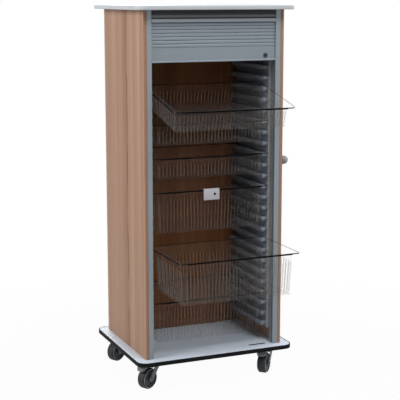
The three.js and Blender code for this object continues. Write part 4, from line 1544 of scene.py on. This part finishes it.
@dataclass
class Castors:
    """Four swivel castors, modelled once about the stem with the wheel trailing towards -X."""

    names: tuple[str, ...] = ("front_left", "front_right", "rear_left", "rear_right")
    trail: float = 38 * MM
    wheel_radius: float = 50 * MM
    wheel_half: float = 21 * MM
    wheel_steps: int = 56
    tyre_depth: float = 12 * MM
    tyre_crown: float = 9 * MM
    crown_steps: int = 6
    # Radii and height of the ring of painted highlight on the tyre's faces.
    ring_inner: float = 42 * MM
    ring_outer: float = 44.4 * MM
    ring_proud: float = 0.4 * MM
    hub_gap: float = 0.2 * MM
    hub_lip: float = 3.2 * MM
    hub_dish: float = 9 * MM
    hub_boss: float = 12 * MM
    hub_bore: float = 4.3 * MM
    hub_slope: float = 1 * MM
    hub_well_slopes: Pair = (2 * MM, 3 * MM)
    hub_well_depths: Pair = (6 * MM, 6.5 * MM)
    hub_rim_depths: Place = (2 * MM, 0.8 * MM, 1.5 * MM)
    leg_inside: float = 24.5 * MM
    leg_wall: float = 4.5 * MM
    leg_lean: float = 53.0
    leg_length: float = 62 * MM
    leg_round: float = 1.6 * MM
    eye_radius: float = 13 * MM
    eye_steps: int = 14
    crown_low: float = 103.5 * MM
    crown_high: float = 114.5 * MM
    crown_front: float = 22.5 * MM
    crown_rear: float = 36 * MM
    crown_round: float = 2 * MM
    head_high: float = 123.4 * MM
    head_radius: float = 30 * MM
    head_groove: float = 2 * MM
    head_foot: float = 4 * MM
    head_neck: Pair = (3 * MM, 1 * MM)
    axle_radius: float = 4 * MM
    nut_radius: float = 7 * MM
    nut_height: float = 4 * MM
    nut_gap: float = 0.3 * MM
    nut_round: float = 0.8 * MM
    plate_corner: float = 8 * MM
    plate_steps: int = 5
    plate_round: float = 0.6 * MM
    bolt_inset: float = 10 * MM
    bolt_radius: float = 5.5 * MM
    bolt_height: float = 4 * MM
    pedal_gap: float = 0.6 * MM
    pedal_heel: float = 38.5 * MM
    pedal_length: float = 62 * MM
    pedal_half: float = 23 * MM
    pedal_arm: float = 28 * MM
    pedal_ease: float = 6 * MM
    pedal_ease_drop: float = 1 * MM
    pedal_top_gap: float = 2 * MM
    pedal_tongue: float = 6 * MM
    pedal_thick: float = 13 * MM
    pedal_drop: float = 14 * MM
    pedal_corner: float = 15 * MM
    pedal_corner_steps: int = 6
    pedal_round: float = 2 * MM
    pedal_round_steps: int = 3

    def place(self, name: str) -> Matrix:
        """A castor's place and heading, from its joints.

        Args:
            name: The castor's name.

        Returns:
            The place of the castor's own frame.
        """
        stem = joint(f"castor_swivel_{name}")["pos_m"]
        axis = joint(f"castor_roll_{name}")["axis"]
        heading = math.atan2(-axis[0], axis[1])
        return Matrix.Translation((stem[0], stem[1], 0)) @ Matrix.Rotation(heading, 4, "Z")

    def wheel_piece(self, name: str, line: Sequence[Pair], steps: int) -> Piece:
        """Turns a line about the axle."""
        return turned(name, line, Axis.Y, (-self.trail, 0, self.wheel_radius), steps)

    def tyre(self) -> Piece:
        """The tyre with a rounded tread.

        Returns:
            The tyre about the axle.
        """
        half, crown, outer = self.wheel_half, self.tyre_crown, self.wheel_radius
        inner = outer - self.tyre_depth
        quarter = arc((0, 0), crown, 0, 90, self.crown_steps)
        shoulder = [(outer - crown + y, crown - half - x) for x, y in quarter]
        ring = [(inner, -half), *shoulder, *mirrored(shoulder), (inner, half), (inner, -half)]
        return smoothed(self.wheel_piece("tyre", ring, self.wheel_steps))

    def hub(self) -> Piece:
        """The moulded hub with stepped faces.

        Returns:
            The hub about the axle.
        """
        half, boss = self.wheel_half, self.hub_boss
        rim = self.wheel_radius - self.tyre_depth - self.hub_gap
        lip, dish = rim - self.hub_lip, rim - self.hub_dish
        slope, (inward, outward_slope) = self.hub_slope, self.hub_well_slopes
        radii = (
            self.hub_bore, boss, boss + slope, boss + inward, dish - outward_slope, dish, lip - slope, lip,
        )
        depths = (0, 0, slope, *self.hub_well_depths, *self.hub_rim_depths)
        face = [(radius, half - depth) for radius, depth in zip(radii, depths)]
        return smoothed(self.wheel_piece("hub", [*face, *mirrored(face), face[0]], self.wheel_steps))

    def highlight_ring(self) -> Piece:
        """The pale ring in the tyre's faces, a painted highlight of the tyre's shoulder.

        Returns:
            The ring about the axle.
        """
        near, far, bead = self.ring_inner, self.ring_outer, self.wheel_half + self.ring_proud
        ring = [(near, -bead), (far, -bead), (far, bead), (near, bead), (near, -bead)]
        return smoothed(self.wheel_piece("highlight_ring", ring, self.wheel_steps))

    def fork(self) -> Piece:
        """The fork: swivel head, crown and two straps that lean back to the axle.

        Returns:
            The fork about the stem.
        """
        lean = math.radians(self.leg_lean)
        front, rear, bottom = self.crown_front, -self.crown_rear, self.crown_low
        axle = Vector((-self.trail, self.wheel_radius))
        up_leg = Vector((math.cos(lean), math.sin(lean)))
        aside = Vector((-math.sin(lean), math.cos(lean))) * self.eye_radius
        knee = axle + up_leg * self.leg_length - aside
        root = (bottom - axle.y - aside.y) / up_leg.y
        outline = [
            *arc(axle, self.eye_radius, self.leg_lean + 90, self.leg_lean + 270, self.eye_steps),
            knee, (front, bottom), (front, self.crown_high), (rear, self.crown_high), (rear, bottom),
            (axle.x + root * up_leg.x + aside.x, bottom),
        ]
        outside = self.leg_inside + self.leg_wall
        crown = block("crown", (rear, -outside, bottom), (front, outside, self.crown_high))
        leg = prism("leg", [(x, -outside, z) for x, z in outline], (0, self.leg_wall, 0))
        legs = repeated(softened(leg, self.leg_round), [(0, 0, 0), (0, outside + self.leg_inside, 0)])
        return joined("fork", [self.head(), softened(crown, self.crown_round), *legs])

    def head(self) -> Piece:
        """The fork's swivel head, with a groove over the crown.

        Returns:
            The head about the stem.
        """
        wide, low, high, groove = self.head_radius, self.crown_high, self.head_high, self.head_groove
        foot, (neck, shoulder) = low - self.head_foot, self.head_neck
        line = [
            (0, foot), (wide - neck, foot), (wide - shoulder, low - groove), (wide - groove, low),
            (wide, low + groove), (wide, high - groove), (wide - groove, high), (0, high),
        ]
        return smoothed(turned("head", line, Axis.Z, (0, 0, 0), LARGE_TURN))

    def axle_bolt(self) -> Piece:
        """The axle bolt with a hexagon head and nut.

        Returns:
            The bolt about the stem.
        """
        inner = self.leg_inside + self.leg_wall + self.nut_gap
        end = inner - self.nut_gap + self.nut_height
        parts = [self.wheel_piece("shank", rod(self.axle_radius, -end, end), SMALL_TURN)]
        for ends in ((inner, end), (-end, -inner)):
            nut = self.wheel_piece("nut", rod(self.nut_radius, *ends), HEXAGON)
            parts.append(softened(nut, self.nut_round))
        return joined("axle_bolt", parts)

    def pedal(self) -> Piece:
        """The brake pedal: a bent plate with a round end.

        Returns:
            The pedal about the stem.
        """
        start, heel = -self.head_radius - self.pedal_gap, -self.pedal_heel
        bend, end = start - self.pedal_arm, start - self.pedal_length
        eased, dip = bend - self.pedal_ease, self.pedal_ease_drop
        top = self.head_high - self.pedal_top_gap
        tongue, foot, drop = top - self.pedal_tongue, top - self.pedal_thick, self.pedal_drop
        outline = [
            (start, tongue), (start, top), (bend, top), (eased, top - dip), (end, top - drop),
            (end, foot - drop), (eased, foot - dip), (bend, foot), (heel, foot), (heel, tongue),
        ]
        half = self.pedal_half
        piece = prism("pedal", [(x, -half, z) for x, z in outline], (0, 2 * half, 0))
        tip = along(Axis.Z, lambda middle: middle.x < end + MM)
        rounded(piece, self.pedal_corner, self.pedal_corner_steps, tip)
        return softened(piece, self.pedal_round, self.pedal_round_steps)

    def plate(self) -> Piece:
        """The top plate of the first castor, with its four bolts.

        Returns:
            The plate, in the row's frame.
        """
        low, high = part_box(f"castor_plate_{self.names[0]}")
        piece = rounded(block("plate", low, high), self.plate_corner, self.plate_steps, along(Axis.Z))
        softened(piece, self.plate_round)
        line = rod(self.bolt_radius, low.z, low.z - self.bolt_height)
        bolt = softened(turned("bolt", line, Axis.Z, (0, 0, 0), HEXAGON), self.plate_round)
        inset = self.bolt_inset
        sides = [(x, y, 0) for x in (low.x + inset, high.x - inset) for y in (low.y + inset, high.y - inset)]
        return joined("plate", [piece, *repeated(bolt, sides)])

    def mount(self, model: Piece, name: str, body: str, finish: Finish, *nodes: str) -> None:
        """Copies a model to a castor and dresses the copy.

        Args:
            model: The piece about the stem.
            name: The castor's name.
            body: The kind of body that the copy rides on.
            finish: Its finish.
            nodes: The kinds of CAD node that it stands for.
        """
        piece = copied(model, f"{model.name}_{name}", self.place(name))
        dress(piece, f"{body}_{name}", finish, *(f"{node}_{name}" for node in nodes))

    def build(self) -> None:
        """Models each piece once and copies it to the castors that have it."""
        kinds = (
            (self.fork(), "castor_fork", FORK, "castor_fork"),
            (self.axle_bolt(), "castor_fork", AXLE, "castor_axle"),
            (self.hub(), "castor_wheel", HUB, "castor_hub"),
            # The pale ring of painted highlight rides on each wheel.
            (self.highlight_ring(), "castor_wheel", TYRE_HIGHLIGHT_RING),
            (self.tyre(), "castor_wheel", TYRE, "castor_tyre"),
        )
        plate, pedal = self.plate(), self.pedal()
        first_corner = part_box(f"castor_plate_{self.names[0]}")[0]
        for name in self.names:
            for model, *words in kinds:
                self.mount(model, name, *words)
            node = f"castor_plate_{name}"
            step = Matrix.Translation(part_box(node)[0] - first_corner)
            dress(copied(plate, f"castor_top_plate_{name}", step), "cabinet", ZINC, node)
            if name.startswith("front"):
                self.mount(pedal, name, "brake_pedal", FORK, "brake_pedal")
        for model in (plate, pedal, *(kind[0] for kind in kinds)):
            bpy.data.objects.remove(model)


@dataclass
class Studio:
    """Pale floor, soft light and the camera at the photograph's viewing angle."""

    eye: Place = (-2.0996, -4.8811, 1.8229)
    yaw: float = 23.099
    pitch: float = 9.984
    lens: float = 101.09
    shift: Pair = (-0.0023, -0.015)
    floor_size: float = 60.0
    floor_color: Color = (0.45, 0.45, 0.45)
    floor_roughness: float = 0.9
    floor_glow: float = 0.965
    floor_reach: Pair = (1.0, 2.2)
    ambient: float = 0.22
    left_place: Place = (-5.2, -0.6, 3.4)
    right_place: Place = (5.2, 0.6, 3.4)
    top_place: Place = (0.6, -2.8, 5.2)
    back_place: Place = (0.5, 5.2, 3.0)
    side_power: float = 215.0
    right_share: float = 0.6
    top_power: float = 180.0
    back_power: float = 150.0
    side_size: float = 2.5
    top_size: float = 2.0
    target: Place = (0, 0, 0.9)
    clear_layers: int = 48

    def camera(self) -> None:
        """Adds the camera."""
        data = bpy.data.cameras.new("camera")
        data.lens = self.lens
        data.shift_x, data.shift_y = self.shift
        camera = bpy.data.objects.new("camera", data)
        camera.location = self.eye
        camera.rotation_euler = (math.radians(90 - self.pitch), 0, -math.radians(self.yaw))
        bpy.context.scene.collection.objects.link(camera)
        bpy.context.scene.camera = camera

    def seen(self, graph: Graph) -> Socket:
        """Tells camera, glossy and transmission rays from the light's own.

        Args:
            graph: The graph to add to.

        Returns:
            A socket that is 1 for such rays.
        """
        rays = graph.add("LightPath", {}).outputs
        seen = graph.sum("MAXIMUM", rays["Is Camera Ray"], rays["Is Glossy Ray"])
        return graph.sum("MAXIMUM", seen, rays["Is Transmission Ray"])

    def world(self) -> None:
        """Lights the room evenly, and shows white to the camera, to mirrors and through glass."""
        world = bpy.data.worlds.new("studio")
        bpy.context.scene.world = world
        graph = Graph(world)
        dim = graph.add("Background", {"Color": WHITE, "Strength": self.ambient}).outputs["Background"]
        white = graph.add("Background", {"Color": WHITE}).outputs["Background"]
        mix = graph.add("MixShader", {"Fac": self.seen(graph), 1: dim, 2: white})
        graph.feed(graph.nodes["World Output"].inputs["Surface"], mix.outputs["Shader"])

    def floor(self) -> None:
        """Adds the floor, which keeps a soft shadow on white."""
        deselect()
        bpy.ops.mesh.primitive_plane_add(size=self.floor_size, location=(0, 0, 0))
        floor = named("studio_floor")
        material = bpy.data.materials.new("studio_floor")
        graph = Graph(material)
        color = (*self.floor_color, 1.0)
        graph.put(Base_Color=color, Roughness=self.floor_roughness, Specular_IOR_Level=0.0)
        distance = graph.add("VectorMath", {0: graph.place()}, operation="LENGTH").outputs["Value"]
        reach = graph.between(distance, self.floor_reach, (self.floor_glow, 1.0))
        share = graph.sum("MULTIPLY", self.seen(graph), reach)
        glow = graph.add("Emission", {"Color": WHITE}).outputs["Emission"]
        mix = graph.add("MixShader", {"Fac": share, 1: graph.shader.outputs["BSDF"], 2: glow})
        graph.feed(graph.nodes["Material Output"].inputs["Surface"], mix.outputs["Shader"])
        floor.data.materials.append(material)

    def lamp(self, name: str, place: Place, size: float, power: float) -> None:
        """Adds one soft lamp that points at the cabinet.

        Args:
            name: The lamp's name.
            place: Where it stands.
            size: Its width.
            power: Its power in watts.
        """
        data = bpy.data.lights.new(name, "AREA")
        data.size, data.energy = size, power
        lamp = bpy.data.objects.new(name, data)
        lamp.location = place
        lamp.rotation_euler = (Vector(self.target) - Vector(place)).to_track_quat("-Z", "Y").to_euler()
        bpy.context.scene.collection.objects.link(lamp)

    def build(self) -> None:
        """Builds the studio."""
        scene = bpy.context.scene
        scene.view_settings.view_transform = "Standard"
        scene.cycles.transparent_max_bounces = self.clear_layers
        self.camera()
        self.world()
        self.floor()
        self.lamp("left", self.left_place, self.side_size, self.side_power)
        self.lamp("right", self.right_place, self.side_size, self.side_power * self.right_share)
        self.lamp("top", self.top_place, self.top_size, self.top_power)
        self.lamp("back", self.back_place, self.side_size, self.back_power)


def main() -> None:
    """Builds the studio and each sub-assembly in order."""
    logging.basicConfig(level=logging.INFO, format="%(message)s")
    Studio().build()
    Carcass().build()
    Shutter().build()
    RunnerPanels().build()
    Baskets(shallow=Basket(100 * MM, plain_top=26 * MM), deep=Basket(200 * MM, plain_top=42 * MM)).build()
    PushHandle().build()
    Castors().build()


if __name__ == "__main__":
    main()
